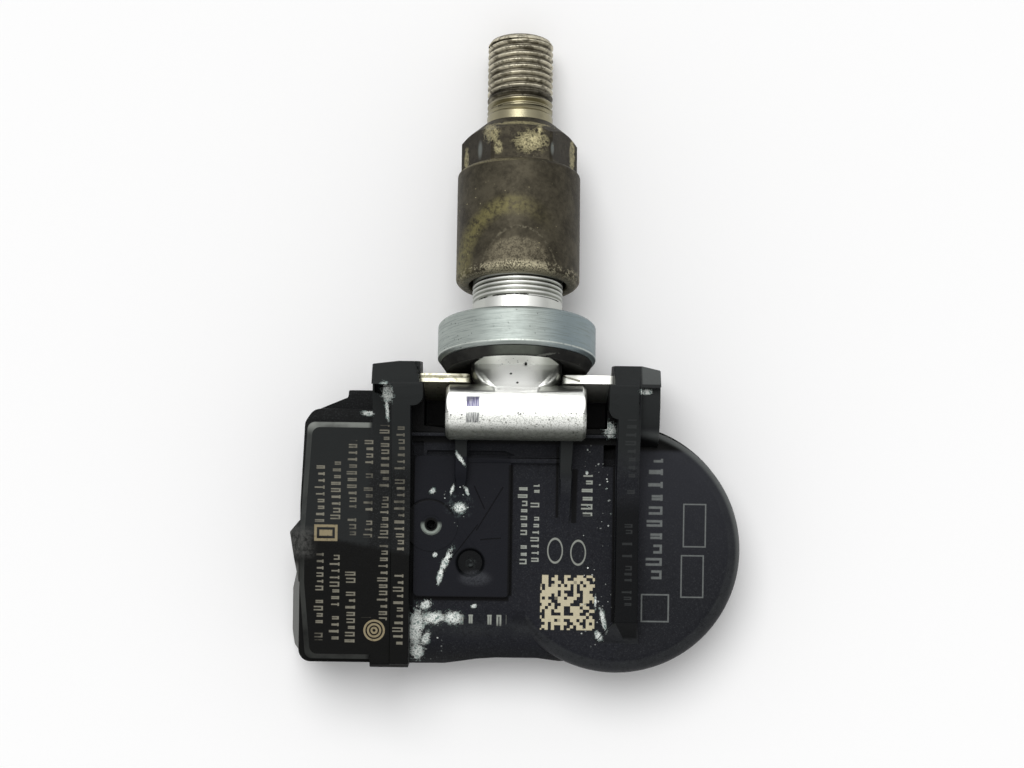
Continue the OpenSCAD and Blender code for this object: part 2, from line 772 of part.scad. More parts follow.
// Inside of the box: open below, higher under the left block
cavity_left = wall + 0.2 - left_side;
cavity_rear = wall + 1 - back_side;
cavity_step = cavity_front + 2.6;
rear_ceiling = 7.6;

module cavity() {
    low = cover_t - 1;
    translate([disc_x, -disc_back, low]) intersection() {
        cylinder(r = disc_r - disc_step - wall, h = ceiling - low);
        translate([-disc_r, -disc_r, 0]) cube([2 * disc_r, disc_r + disc_back - cavity_front, deck_z]);
    }
    block([cavity_left, cavity_rear, low], [disc_x, -cavity_step, rear_ceiling]);
    block([cavity_left, -lens_from - 1, low], [disc_x, -cavity_step, ceiling]);
    block([cavity_left, cavity_rear, low], [-rib_left_out, -cavity_front - 0.4, block_ceiling]);
}

// Block that keeps the deck closed under the slot beside the right rib
module slot_backing() {
    block([rib_right_in - 3, -7.4, 7], [rib_right_in + 1, -cradle_back, deck_z]);
}

// Slot beside the right rib, a pocket beside the left one and two shallow slots between them
slot_front = 4.55;
slot_back = 5.05;

module deck_slots() {
    low = deck_z - 0.7;
    block([rib_right_in - 1.5, -6.2, deck_z - 2.3], [rib_right_in - 0.1, -3.7, deck_z + 1]);
    block([-rib_left_in + 0.2, -5.2, low - 0.2], [-rib_left_in + 1.4, -3.5, deck_z + 1]);
    block([-10.3, -slot_back, low], [-7.1, -slot_front, deck_z + 1]);
    translate([0, 0, low]) linear_extrude(2)
        polygon([[-5.5, -slot_front], [-1.2, -slot_front], [0, -slot_back], [-5.5, -slot_back]]);
}

// Ragged inner edge of the left head, where the moulding is chipped
module head_chips() {
    translate([-ear_in - 0.4, head_front, pivot_z]) linear_extrude(ear_z)
        polygon([[cut, cut], [-0.6, cut], [-0.55, -0.35], [-0.25, -0.6], [-0.42, -0.85], [-0.15, -1.1],
            [-0.3, -1.4], [0, -1.65], [-0.12, -1.9], [0.05, -2.1], [cut, -2.1]]);
}

// Slanting cuts at the outer corners of both heads, as the stock that is cut away
module head_corners() {
    translate([ear_out - 2.1, head_front - head_lag, 0]) rotate([0, 0, -13]) cube([4, 3, 2 * ear_z]);
    linear_extrude(2 * ear_z) polygon([[-ear_out + 3, head_front], [-ear_out + 3, head_front + 1],
        [-ear_out - 1, head_front + 1], [-ear_out - 1, head_front - 0.5]]);
}

// Posts under the deck that pass through the circuit board
stake_at = [[-20.5, -21.5], [-15, -8.5]];
stake_d = 1.6;

module stakes() {
    low = board_z - 0.5;
    for (p = stake_at) translate([p.x, p.y, low]) cylinder(d = stake_d, h = block_ceiling + 0.1 - low);
}

module housing() {
    color("#26272b") difference() {
        union() {
            difference() {
                union() {
                    left_block();
                    pried_edge();
                    heel();
                    middle();
                    round_end();
                    cradle_wall();
                    cradle_base();
                    ear(-1);
                    ear(1);
                    rib(-rib_left_out, -rib_left_in, back_side);
                    left_flank();
                    right_flank();
                    right_rib();
                    pad();
                }
                cavity();
            }
            slot_backing();
            stakes();
        }
        translate([0, 0, -cut]) linear_extrude(cover_t + cut) square(4 * left_side, center = true);
        cradle_room();
        well();
        on_clip() clip_plate(loose_gap);
        left_pocket();
        head_corners();
        deck_slots();
        head_chips();
        translate([port_at.x, port_at.y, ceiling - cut]) cylinder(d = port_d, h = deck_z);
        translate([dimple_at.x, dimple_at.y, deck_z]) difference() {
            translate([0, 0, 0.2]) cylinder(d1 = dimple_d - 0.8, d2 = dimple_d, h = pad_rise);
            cylinder(d = 0.9, h = pad_rise - 0.1);
        }
    }
}

// Deep well under the cross-bar, between the ears
module well() {
    end = bar_len / 2 + loose_gap;
    inner = bar_len / 2 - saddle_w;
    for (s = [0, 1]) mirror([s, 0, 0])
        block([end, -well_back, floor_z], [ear_in, head_front + cut, ear_z + cut]);
    block([-inner, -well_back, floor_z], [inner, head_front + cut, ear_z]);
}

// Base cover

module base_plan() {
    heel_plan();
    block_plan();
    ledge_plan();
    middle_plan();
    translate(disc_at) circle(disc_r);
    translate([-ear_out, -back_side - 0.4]) square([ear_out - rib_left_in, back_side]);
    translate([-ear_out, -6]) square([2 * ear_out, 6 + floor_front]);
}

module base_cover() {
    gap = loose_gap + run_gap;
    ridge_w = 0.8;
    low = [cavity_left + gap, cavity_rear + gap];
    size = [disc_x - disc_r + 1, -cavity_step - gap] - low;
    color("#202124") {
        linear_extrude(cover_t) base_plan();
        translate([0, 0, cover_t]) linear_extrude(ridge_h) translate(low) difference() {
            square(size);
            translate([ridge_w, ridge_w]) square(size - 2 * [ridge_w, ridge_w]);
        }
    }
}

// Electronics

module circuit_board() {
    gap = 0.4;
    x0 = cavity_left + gap;
    color("#1f5a36") difference() {
        translate([0, 0, board_z]) linear_extrude(board_t) {
            plate([x0, 0.3 - lens_from - 1], [8, -cavity_step - gap], 0.5);
            plate([x0, cavity_rear + gap], [-rib_left_out - gap, -cavity_front - 2 * gap], 0.5);
        }
        for (p = stake_at) translate([p.x, p.y, board_z - cut])
            cylinder(d = stake_d + 2 * loose_gap, h = board_t + 2 * cut);
        tab_post(top_tab_x, loose_gap);
        tab_post(bottom_tab_x, loose_gap);
    }
}

top_tab_x = 5;
bottom_tab_x = disc_x - cell_d / 2 - 0.9;
tab_w = 3;

// Upright end of a battery tab, which passes through the board
module tab_post(x, gap) {
    w = tab_w / 4 + gap;
    block([x - gap, -disc_back - w, board_z - cut], [x + strip_t + gap, w - disc_back, board_top + cut]);
}

module battery_cell() {
    edge = 0.4;
    color("#b5b8ba") translate([disc_x, -disc_back, cell_z]) {
        cylinder(d1 = cell_d - 2 * edge, d2 = cell_d, h = edge);
        translate([0, 0, edge]) cylinder(d = cell_d, h = cell_t - 0.7 - edge);
        translate([0, 0, cell_t - 0.7]) cylinder(d = cell_d - 1.6, h = 0.7);
    }
}

// Battery tab: a strip on the cell and an upright end that reaches through the board
module battery_tab(x, z) {
    w = tab_w / 2;
    color("#c7c9c6") translate([x, -disc_back, z]) {
        block([0, -w, 0], [disc_x + 3 - x, w, strip_t]);
        block([0, -w / 2, 0], [strip_t, w / 2, board_top + 0.3 - z]);
    }
}

module battery_tab_top() {
    battery_tab(top_tab_x, cell_z + cell_t);
}

module battery_tab_bottom() {
    battery_tab(bottom_tab_x, cell_z - strip_t);
}

module sensor_chip() {
    w = chip_w / 2;
    color("#2b2b2e") difference() {
        block([port_at.x - w, port_at.y - w, board_top], [port_at.x + w, port_at.y + w, board_top + chip_h]);
        translate([port_at.x, port_at.y, board_top + chip_h - 0.4]) cylinder(d = port_d, h = 1);
    }
}

module port_gasket() {
    color("#3a3a3c") translate([port_at.x, port_at.y, board_top + chip_h])
        tube(port_d + 2.2, port_d + 0.2, ceiling - board_top - chip_h);
}

coil_at = [-19.6, -15];

// Square bar along the coil, its sides set in by one amount and its ends by another
module coil_bar(side_in, end_in) {
    w = coil_w - 2 * side_in;
    translate([coil_at.x - w / 2, coil_at.y + end_in, board_top + side_in])
        cube([w, coil_len - 2 * end_in, w]);
}

coil_flange = 1.1;
coil_depth = 0.6;

module coil_core() {
    color("#39393b") {
        coil_bar(coil_depth, 0);
        difference() {
            coil_bar(0, 0);
            coil_bar(-cut, coil_flange);
        }
    }
}

module coil_winding() {
    color("#9a5a2c") difference() {
        coil_bar(loose_gap, coil_flange + run_gap);
        coil_bar(coil_depth - run_gap, 0);
    }
}

// Bent strip that radiates, along the board's back edge
module rf_antenna() {
    y = -back_side + wall + 2.2;
    x0 = -22.4;
    x1 = -rib_left_out - 1.2;
    h = 2.4;
    t = 2 * strip_t;
    color("#b9a46a") for (leg = [x0, x1 - t]) {
        block([leg, y, board_top], [leg + t, y + 1.4, board_top + h]);
        block([x0, y, board_top + h - t], [x1, y + 1.4, board_top + h]);
    }
}

crystal_at = [-1, -12];
crystal_lid_in = 0.2;

module crystal() {
    color("#c3c4c1") translate([crystal_at.x, crystal_at.y, board_top]) {
        cube([crystal_len, crystal_w, crystal_h / 2]);
        translate([crystal_lid_in, crystal_lid_in, 0])
            cube([crystal_len - 2 * crystal_lid_in, crystal_w - 2 * crystal_lid_in, crystal_h]);
    }
}

// Small resistors and capacitors, in two rows
module chip_components() {
    color("#8c7a5c") for (i = [0:4]) for (j = [0, 1])
        translate([comp_pitch * (i - 2), -comp_back - 0.8 * comp_pitch * j, board_top])
            cube([comp_len, comp_len / 2, comp_len / 2]);
}

housing();
base_cover();
retaining_clip();
valve_stem();
seal_ring();
seal_rubber();
valve_nut();
core_barrel();
core_gasket();
core_pin();
core_cup();
core_spring();
circuit_board();
battery_cell();
battery_tab_top();
battery_tab_bottom();
sensor_chip();
port_gasket();
coil_core();
coil_winding();
rf_antenna();
crystal();
chip_components();
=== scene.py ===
# %% [markdown]
# # A tyre pressure sensor, dressed for the camera
# A wheel sensor is a small sealed plastic box with a metal valve stem that swivels between two ears.
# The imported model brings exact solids. This lesson rounds their edges, cuts the threads, and gives
# every surface a finish built from noise and simple shapes, so it looks used and handled.

# %% Load the solids
import math
from collections import Counter
from functools import reduce

import bpy
from mathutils import Matrix, Vector


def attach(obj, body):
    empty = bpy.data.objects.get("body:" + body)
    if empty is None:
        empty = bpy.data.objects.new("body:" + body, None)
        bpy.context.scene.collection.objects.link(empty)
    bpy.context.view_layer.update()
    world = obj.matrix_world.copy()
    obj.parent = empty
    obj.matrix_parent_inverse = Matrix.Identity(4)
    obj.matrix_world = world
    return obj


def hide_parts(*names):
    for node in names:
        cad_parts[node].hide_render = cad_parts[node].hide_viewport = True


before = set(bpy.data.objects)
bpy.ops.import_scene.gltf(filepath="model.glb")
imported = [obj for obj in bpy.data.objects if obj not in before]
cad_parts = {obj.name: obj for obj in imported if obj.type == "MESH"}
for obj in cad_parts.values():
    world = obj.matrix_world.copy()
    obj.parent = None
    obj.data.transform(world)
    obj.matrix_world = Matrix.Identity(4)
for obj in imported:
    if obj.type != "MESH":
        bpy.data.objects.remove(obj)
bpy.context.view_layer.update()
MM = 0.001

# %% [markdown]
# ## The camera
# The photograph looks straight down from about a third of a metre, turned by less than a degree.
# A long lens keeps the box's sides out of sight, as the picture does.

# %% Camera
EYE = (-0.0005, 0.0033, 0.361)  # metres
ROLL = math.radians(0.8)
LENS = 105.47                   # millimetres, on a sensor 36 mm wide

bpy.ops.object.select_all(action="DESELECT")
bpy.ops.object.camera_add(location=EYE, rotation=(0, 0, ROLL))
camera = bpy.context.object
camera.data.lens = LENS
camera.data.sensor_width = 36
camera.data.clip_start = 0.01
bpy.context.scene.camera = camera
print("lens", round(camera.data.lens, 1), "mm")

# %% [markdown]
# ## A small language for finishes
# A finish is a web of shader nodes. Writing every link by hand hides the idea, so a socket is
# wrapped in a class that knows plus, minus and times. One method adds any other node.

# %% Values that vary over a surface
class Value:
    """A number, colour or place that varies over a surface."""

    def __init__(self, finish, socket):
        self.finish = finish
        self.socket = socket

    def math(self, operation, *others):
        return self.finish.node("Math", {"operation": operation}, dict(enumerate((self, *others))))

    def __add__(self, other):
        return self.math("ADD", other)

    def __sub__(self, other):
        return self.math("SUBTRACT", other)

    def __rsub__(self, other):
        return self.finish.node("Math", {"operation": "SUBTRACT"}, {0: other, 1: self})

    def __mul__(self, other):
        return self.math("MULTIPLY", other)

    __radd__ = __add__
    __rmul__ = __mul__

    def most(self, other):
        """The larger of two values, which is also the union of two masks."""
        return self.math("MAXIMUM", other)

    def rise(self, low, high):
        """0 below low, 1 above high, and a soft step between them; falls where high is below low."""
        return self.finish.node(
            "MapRange", {"interpolation_type": "SMOOTHSTEP"},
            {"Value": self, "From Min": low, "From Max": high})


# %% A finish: one material and the nodes that vary it
class Finish:
    """A material whose patterns are measured in millimetres on the piece.

    A mask is a value from 0 to 1."""

    def __init__(self, name, **fixed):
        self.material = bpy.data.materials.new(name)
        self.material.use_nodes = True
        self.tree = self.material.node_tree
        self.shader = self.tree.nodes["Principled BSDF"]
        for socket, number in fixed.items():
            self.shader.inputs[socket.replace("_", " ")].default_value = number
        here = self.node("TexCoord", {}, {}, "Object")
        self.place = self.vector("SCALE", here, scale=1 / MM)
        self.where = self.parts(self.place)

    def node(self, kind, settings, inputs, output=0):
        """Adds a node: its settings first, then a number or a link for each socket named."""
        made = self.tree.nodes.new("ShaderNode" + kind)
        for key, setting in settings.items():
            if key == "stops":
                ramp = made.color_ramp
                ramp.interpolation = "CONSTANT"
                while len(ramp.elements) < len(setting):
                    ramp.elements.new(0.5)
                for stop, (at, colour) in zip(ramp.elements, setting):
                    stop.position = at
                    stop.color = (*colour, 1)
            else:
                setattr(made, key, setting)
        for key, given in inputs.items():
            if isinstance(given, Value):
                self.tree.links.new(given.socket, made.inputs[key])
            else:
                made.inputs[key].default_value = given
        return Value(self, made.outputs[output])

    def vector(self, operation, *given, scale=None):
        """A place worked out from others, or a number where the operation gives one."""
        inputs = dict(enumerate(given))
        if scale is not None:
            inputs["Scale"] = scale
        output = "Value" if operation == "LENGTH" else "Vector"
        return self.node("VectorMath", {"operation": operation}, inputs, output)

    def parts(self, vector):
        """The three numbers of a place."""
        return [self.node("SeparateXYZ", {}, {"Vector": vector}, axis) for axis in "XYZ"]

    def noise(self, size, stretch=None, detail=3, rough=0.55):
        """Soft noise whose lumps are about this many millimetres across. Stretch holds a factor for
        each direction, and the lumps are longer where it is small."""
        place = self.vector("MULTIPLY", self.place, stretch) if stretch else self.place
        return self.node("TexNoise", {}, {
            "Vector": place, "Scale": 1 / size, "Detail": detail, "Roughness": rough}, "Fac")

    def dents(self, size):
        """Distance to the nearest of many scattered points, in cells of this size."""
        return self.node("TexVoronoi", {}, {"Vector": self.place, "Scale": 1 / size}, "Distance")

    def chance(self, *numbers):
        """A seeded random number from 0 to 1 that is the same wherever these numbers are."""
        place = self.node("CombineXYZ", {}, dict(enumerate(numbers)))
        return self.node("TexWhiteNoise", {"noise_dimensions": "3D"}, {"Vector": place}, "Value")

    def mix(self, under, over, share):
        """One colour painted over another where the share is 1."""
        return self.node("Mix", {"data_type": "RGBA"}, {0: share, 6: under, 7: over}, 2)

    def cover(self, colour, share):
        """Paints a colour over the finish's own where the share is 1."""
        self.colour = self.mix(self.colour, colour, share)

    def paint(self, colour=None, roughness=None, metallic=None):
        """Feeds the shader's own sockets."""
        for key, given in (("Base Color", colour), ("Roughness", roughness), ("Metallic", metallic)):
            if given is not None:
                self.tree.links.new(given.socket, self.shader.inputs[key])

    def relief(self, *layers):
        """Bumps, each a height from 0 to 1 and its depth in millimetres."""
        normal = None
        for height, depth in layers:
            inputs = {"Height": height, "Distance": depth * MM}
            if normal:
                inputs["Normal"] = normal
            normal = self.node("Bump", {}, inputs, "Normal")
        self.tree.links.new(normal.socket, self.shader.inputs["Normal"])


def shade(red, green, blue):
    """A colour given as it looks on screen, 0 to 255, turned to the shader's linear one."""
    def linear(level):
        level /= 255
        return level / 12.92 if level < 0.04045 else ((level + 0.055) / 1.055) ** 2.4
    return (linear(red), linear(green), linear(blue), 1)


print("finish language ready")

# %% [markdown]
# ## Working on a copy of a solid
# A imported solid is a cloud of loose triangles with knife-sharp edges. Its copy is merged, flat
# faces are dissolved back to whole faces, and a fine bevel rounds the sharp edges, because a real
# edge always catches a thin line of light. Where an edge is very short, or a slot is too narrow for
# two bevels, it stays sharp, because bevels that meet would fold over each other.

# %% Tools for copies
MERGE = 0.012  # points of a solid nearer than this are one
COPLANAR = math.radians(0.6)


def pick(*pieces):
    """Leaves only these objects selected, the first one active."""
    bpy.ops.object.select_all(action="DESELECT")
    for piece in pieces:
        piece.select_set(True)
    bpy.context.view_layer.objects.active = pieces[0]


def edit(piece):
    """Enters edit mode with all of a piece selected."""
    pick(piece)
    bpy.ops.object.mode_set(mode="EDIT")
    bpy.ops.mesh.select_all(action="SELECT")


def done():
    """Leaves edit mode."""
    bpy.ops.object.mode_set(mode="OBJECT")


def copy_of(node, name):
    """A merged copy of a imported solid, free to be reshaped."""
    piece = bpy.data.objects.new(name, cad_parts[node].data.copy())
    bpy.context.scene.collection.objects.link(piece)
    piece.data.materials.clear()
    edit(piece)
    bpy.ops.mesh.customdata_custom_splitnormals_clear()
    bpy.ops.mesh.remove_doubles(threshold=MERGE * MM)
    bpy.ops.mesh.dissolve_limited(angle_limit=COPLANAR)
    done()
    return piece


def soften(piece, width, angle=32, steps=2, tight=()):
    """Rounds the sharp edges by a width in millimetres, except the very short ones and those that
    touch a tight place, which is given as the two corners of a box."""
    edit(piece)
    bpy.ops.mesh.select_mode(type="EDGE")
    bpy.ops.mesh.select_all(action="DESELECT")
    bpy.ops.mesh.edges_select_sharp(sharpness=math.radians(angle))
    done()
    mesh = piece.data
    reach = [1.0] * len(mesh.vertices)
    for edge in mesh.edges:
        a, b = edge.vertices
        length = (mesh.vertices[a].co - mesh.vertices[b].co).length
        reach[a] = min(reach[a], length)
        reach[b] = min(reach[b], length)
    sharp = [edge.index for edge in mesh.edges if edge.select]
    room = 2.1 * width * MM
    sound = [i for i in sharp if min(reach[v] for v in mesh.edges[i].vertices) > room]
    for low, high in tight:
        narrow = {v.index for v in mesh.vertices
                  if all(a <= c / MM <= b for a, c, b in zip(low, v.co, high))}
        sound = [i for i in sound if not narrow.intersection(mesh.edges[i].vertices)]
    weights = mesh.attributes.new("bevel_weight_edge", "FLOAT", "EDGE")
    for i in sound:
        weights.data[i].value = 1.0
    bevel = piece.modifiers.new("edges", "BEVEL")
    bevel.width = width * MM
    bevel.segments = steps
    bevel.limit_method = "WEIGHT"
    bevel.use_clamp_overlap = False
    bevel.miter_outer = "MITER_ARC"
    split = piece.modifiers.new("split", "TRIANGULATE")
    split.min_vertices = 5
    split.ngon_method = "BEAUTY"
    level = piece.modifiers.new("level", "WEIGHTED_NORMAL")
    level.keep_sharp = True
    level.mode = "FACE_AREA_WITH_ANGLE"
    pick(piece)
    bpy.ops.object.modifier_apply(modifier="edges")
    bpy.ops.object.modifier_apply(modifier="split")
    bpy.ops.object.shade_smooth_by_angle(angle=math.radians(angle))
    bpy.ops.object.modifier_apply(modifier="level")
    print(piece.name, "edges rounded", len(sound), "of", len(sharp))


def settle(piece, body, node, finish):
    """Gives a piece its body, the solid that it stands for, and its finish."""
    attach(piece, body)
    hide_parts(node)
    piece.data.materials.clear()
    piece.data.materials.append(finish.material)
    print(piece.name, len(piece.data.polygons), "faces")


# %% [markdown]
# ## Along the stem
# The stem droops by 14 degrees, so its parts are turned upright before they are worked on, with
# the swivel axis at the origin and the stem along Z, and laid back at the end.

# %% Upright and back
AXIS_HEIGHT = 14.6
DROOP = math.radians(14.066)
LAID = Matrix.Translation(Vector((0, 0, AXIS_HEIGHT * MM))) @ Matrix.Rotation(-math.pi / 2 - DROOP, 4, "X")


def move(piece, matrix):
    """Moves a piece and keeps its object at the origin."""
    piece.matrix_world = matrix
    pick(piece)
    bpy.ops.object.transform_apply(location=True, rotation=True, scale=True)


def slice_at(height):
    """Cuts all that is selected in edit mode across the stem, without removing anything."""
    bpy.ops.mesh.select_all(action="SELECT")
    bpy.ops.mesh.bisect(plane_co=(0, 0, height * MM), plane_no=(0, 0, 1))


def radius(point):
    """Distance from the stem's axis, in millimetres."""
    return math.hypot(point.x, point.y) / MM


# %% [markdown]
# ## Threads
# A thread is one groove that climbs round the stem. Its zigzag profile is drawn once along the
# whole length and screwed through one turn while it rises by one pitch, so the end of the turn
# meets the start of the next. The smooth band of the stem gives way to it.

# %% Cut a thread into a turned piece
SKIN = 0.1    # the band's faces lie no further inside the crest
UNDER = 0.02  # how far the closing band lies under the root
INSIDE = 0.1  # how far the sleeve's hidden inner wall lies under the root
CLOSE = 0.01  # points nearer than this are one


def thread(piece, start, end, crest, depth, pitch):
    """Replaces the smooth band between two heights by a thread. All sizes are in millimetres."""
    root = crest - depth
    edit(piece)
    slice_at(start)
    slice_at(end)
    bpy.ops.mesh.select_all(action="DESELECT")
    done()

    # The smooth band goes.
    gone = 0
    for face in piece.data.polygons:
        if start < face.center.z / MM < end and radius(face.center) > crest - SKIN:
            face.select = True
            gone += 1
    bpy.ops.object.mode_set(mode="EDIT")
    bpy.ops.mesh.select_mode(type="FACE")
    bpy.ops.mesh.delete(type="FACE")
    bpy.ops.mesh.select_mode(type="EDGE")
    bpy.ops.mesh.select_all(action="DESELECT")
    done()

    # The two open rims are drawn in under the root and bridged.
    mesh = piece.data
    used = Counter(key for face in mesh.polygons for key in face.edge_keys)
    for edge in mesh.edges:
        heights = [mesh.vertices[v].co.z / MM for v in edge.vertices]
        at_cut = all(min(abs(h - start), abs(h - end)) < CLOSE for h in heights)
        edge.select = at_cut and used[edge.key] == 1
    bpy.ops.object.mode_set(mode="EDIT")
    bpy.ops.mesh.extrude_edges_move()
    shrink = (root - UNDER) / crest
    bpy.ops.transform.resize(value=(shrink, shrink, 1), center_override=(0, 0, 0))
    bpy.ops.mesh.bridge_edge_loops()
    done()
    groove = zigzag(start, end, crest, root, pitch)
    pick(piece, groove)
    bpy.ops.object.join()
    print("thread on", piece.name, "in place of", gone, "faces")


def zigzag(start, end, crest, root, pitch):
    """The threaded sleeve, closed, along Z."""
    inner = root - INSIDE
    turns = math.ceil((end - start) / pitch) + 2
    low = start - 1.5 * pitch
    profile = ((crest, 0), (crest, 0.14), (root, 0.5), (root, 0.64))  # heights in pitches
    outside = [(r, low + turn * pitch + share * pitch)
               for turn in range(turns + 1) for r, share in profile]
    points = [(0, r * MM, z * MM) for r, z in outside]
    inside = [(0, inner * MM, z * MM) for _, z in outside]
    count = len(points)
    edges = [(i, i + 1) for i in range(count - 1)]
    edges += [(count + i + 1, count + i) for i in range(count - 1)]
    mesh = bpy.data.meshes.new("groove")
    mesh.from_pydata(points + inside, edges, [])
    sleeve = bpy.data.objects.new("groove", mesh)
    bpy.context.scene.collection.objects.link(sleeve)
    screw = sleeve.modifiers.new("climb", "SCREW")
    screw.axis = "Z"
    screw.angle = math.tau
    screw.screw_offset = pitch * MM
    screw.steps = 72
    screw.use_merge_vertices = False
    pick(sleeve)
    bpy.ops.object.modifier_apply(modifier="climb")
    edit(sleeve)
    bpy.ops.mesh.remove_doubles(threshold=CLOSE * MM)
    for height, way in ((start, -1), (end, 1)):
        bpy.ops.mesh.select_all(action="SELECT")
        bpy.ops.mesh.bisect(plane_co=(0, 0, height * MM), plane_no=(0, 0, way),
                            use_fill=True, clear_outer=True)
    bpy.ops.mesh.select_all(action="SELECT")
    bpy.ops.mesh.normals_make_consistent(inside=False)
    done()
    return sleeve


# %% Stem with its two threads
CAP_THREAD = (36.35, 44.6)
CAP_CREST = 3.85
NUT_THREAD = (12.7, 25.3)
NUT_CREST = 5.25

stem_turned = copy_of("valve_stem", "stem_turned")
move(stem_turned, LAID.inverted())
thread(stem_turned, *CAP_THREAD, crest=CAP_CREST, depth=0.42, pitch=0.794)
thread(stem_turned, *NUT_THREAD, crest=NUT_CREST, depth=0.14, pitch=0.55)
soften(stem_turned, 0.06, angle=40)
move(stem_turned, LAID)

# %% [markdown]
# The rubber sleeve's lower inner edge is lifted, which hollows its underside round the neck.

# %% Ring, rubber and nut
MOUTH_TOP = 4.9
MOUTH_RADIUS = 6
LIFT = 0.85

ring_turned = copy_of("seal_ring", "ring_turned")
soften(ring_turned, 0.1)
rubber_sleeve = copy_of("seal_rubber", "rubber_sleeve")
move(rubber_sleeve, LAID.inverted())
edit(rubber_sleeve)
bpy.ops.mesh.select_all(action="DESELECT")
done()
for vertex in rubber_sleeve.data.vertices:
    vertex.select = vertex.co.z / MM < MOUTH_TOP and radius(vertex.co) < MOUTH_RADIUS
bpy.ops.object.mode_set(mode="EDIT")
bpy.ops.transform.translate(value=(0, 0, LIFT * MM))
done()
soften(rubber_sleeve, 0.08)
move(rubber_sleeve, LAID)
nut_shell = copy_of("valve_nut", "nut_shell")
soften(nut_shell, 0.18, angle=28)

# %% [markdown]
# The box is one shell with four finishes, side by side. Large flat faces are cut where one finish
# gives way to the next.

# %% Box, cover and clip
PAD_END = -0.2
DECK_CUT = 13.1  # within the right rib's width
DECK_TOP = 10.6
# The narrow slots beside the ears.
SLOTS = [((9.8, -6.5, 8), (12.1, -2.8, 10.6)), ((-12.1, -6.5, 8), (-5.2, -2.8, 10.6))]

box_shell = copy_of("housing", "box_shell")
edit(box_shell)
bpy.ops.mesh.select_mode(type="FACE")
bpy.ops.mesh.select_all(action="DESELECT")
done()
for split, upward, ceiling in ((DECK_CUT, 0.99, DECK_TOP), (PAD_END, 0.2, math.inf)):
    for face in box_shell.data.polygons:
        face.select = face.normal.z > upward and face.center.z / MM < ceiling
    bpy.ops.object.mode_set(mode="EDIT")
    bpy.ops.mesh.bisect(plane_co=(split * MM, 0, 0), plane_no=(1, 0, 0))
    bpy.ops.mesh.select_all(action="DESELECT")
    done()
soften(box_shell, 0.12, angle=35, tight=SLOTS)
base_plate = copy_of("base_cover", "base_plate")
soften(base_plate, 0.12, angle=35)
clip_plate = copy_of("retaining_clip", "clip_plate")
soften(clip_plate, 0.1, angle=35)

# %% [markdown]
# ## Spots, strokes and rows of marks
# The box is printed, scratched and splashed. Each mark is drawn from the X and Y of the point being
# shaded. For a spot, one Mapping node slides, turns and shrinks the place, so that the spot is always
# the circle of radius 1 round the origin. A patch is measured from its middle. A row of print is a
# run of small bars whose lengths come from seeded chance.

# %% Tools for painted marks
FLAT = 1e6  # a scale that leaves a mark's height out of count


def near(f, centre, half, turn=0):
    """0 at a spot's centre and 1 at its rim, for a spot of these half sizes."""
    local = f.node("Mapping", {"vector_type": "TEXTURE"}, {
        "Vector": f.place, "Location": (*centre, 0), "Rotation": (0, 0, math.radians(turn)),
        "Scale": (*half, FLAT)})
    return f.vector("LENGTH", local)


def hoop(spot, outer, inner):
    """1 along a spot's rim: it falls to 0 at outer, a share of the spot's size."""
    return (spot - 1).math("ABSOLUTE").rise(outer, inner)


def patch(f, low, high, soft=0.06):
    """1 inside the rectangle between two corners."""
    middle = ((low[0] + high[0]) / 2, (low[1] + high[1]) / 2, 0)
    half = ((high[0] - low[0]) / 2, (high[1] - low[1]) / 2, 0)
    off = f.vector("ABSOLUTE", f.vector("SUBTRACT", f.place, middle))
    beyond = f.parts(f.vector("SUBTRACT", off, half))
    return beyond[0].most(beyond[1]).rise(soft, -soft)


def stroke(f, start, end, width):
    """1 near the line between two places."""
    run = (end[0] - start[0], end[1] - start[1])
    half = math.hypot(*run) / 2
    middle = ((start[0] + end[0]) / 2, (start[1] + end[1]) / 2)
    local = f.node("Mapping", {"vector_type": "TEXTURE"}, {
        "Vector": f.place, "Location": (*middle, 0), "Rotation": (0, 0, math.atan2(run[1], run[0]))})
    along, across, _ = f.parts(f.vector("ABSOLUTE", local))
    return across.rise(0.8 * width, 0.3 * width) * along.rise(half + 0.1, half)


def outline(f, low, high, line, soft=0.04):
    """The rim of a rectangle."""
    inner = patch(f, (low[0] + line, low[1] + line), (high[0] - line, high[1] - line), soft)
    return patch(f, low, high, soft) * (1 - inner)


def bars(f, u, v, seed):
    """Small bars across a row: u runs from 0 to 1 across it, v grows by 1 from bar to bar. Chance
    sets where a bar begins, how far it splits in two and whether it is left out. Each has a foot."""
    cell = v.math("FLOOR")
    off = (v.math("FRACT") - 0.5).math("ABSOLUTE")
    place = f.node("CombineXYZ", {}, {0: cell, 1: seed})
    luck = f.parts(f.node("TexWhiteNoise", {"noise_dimensions": "3D"}, {"Vector": place}, "Color"))
    thin = (off - 0.27 * luck[1]).math("ABSOLUTE").rise(0.14, 0.05)
    bar = thin * u.rise(luck[0] * 0.45, luck[0] * 0.45 + 0.08)
    foot = (u - 0.93).math("ABSOLUTE").rise(0.1, 0.05) * off.rise(0.27, 0.2)
    return bar.most(foot) * luck[2].rise(0.1, 0.11) * u.rise(1.03, 0.97)


def row(f, low, high, pitch, seed, across=0):
    """A row of bars that fills a rectangle, in steps along its longer side."""
    u = (f.where[across] - low[across]) * (1 / (high[across] - low[across]))
    return bars(f, u, f.where[1 - across] * (1 / pitch), seed) * patch(f, low, high)


def together(masks):
    """The union of several masks."""
    return reduce(Value.most, masks)


def strokes(f, *runs):
    """The union of several strokes, each a start, an end and a width."""
    return together(stroke(f, *run) for run in runs)


print("tools for marks ready")

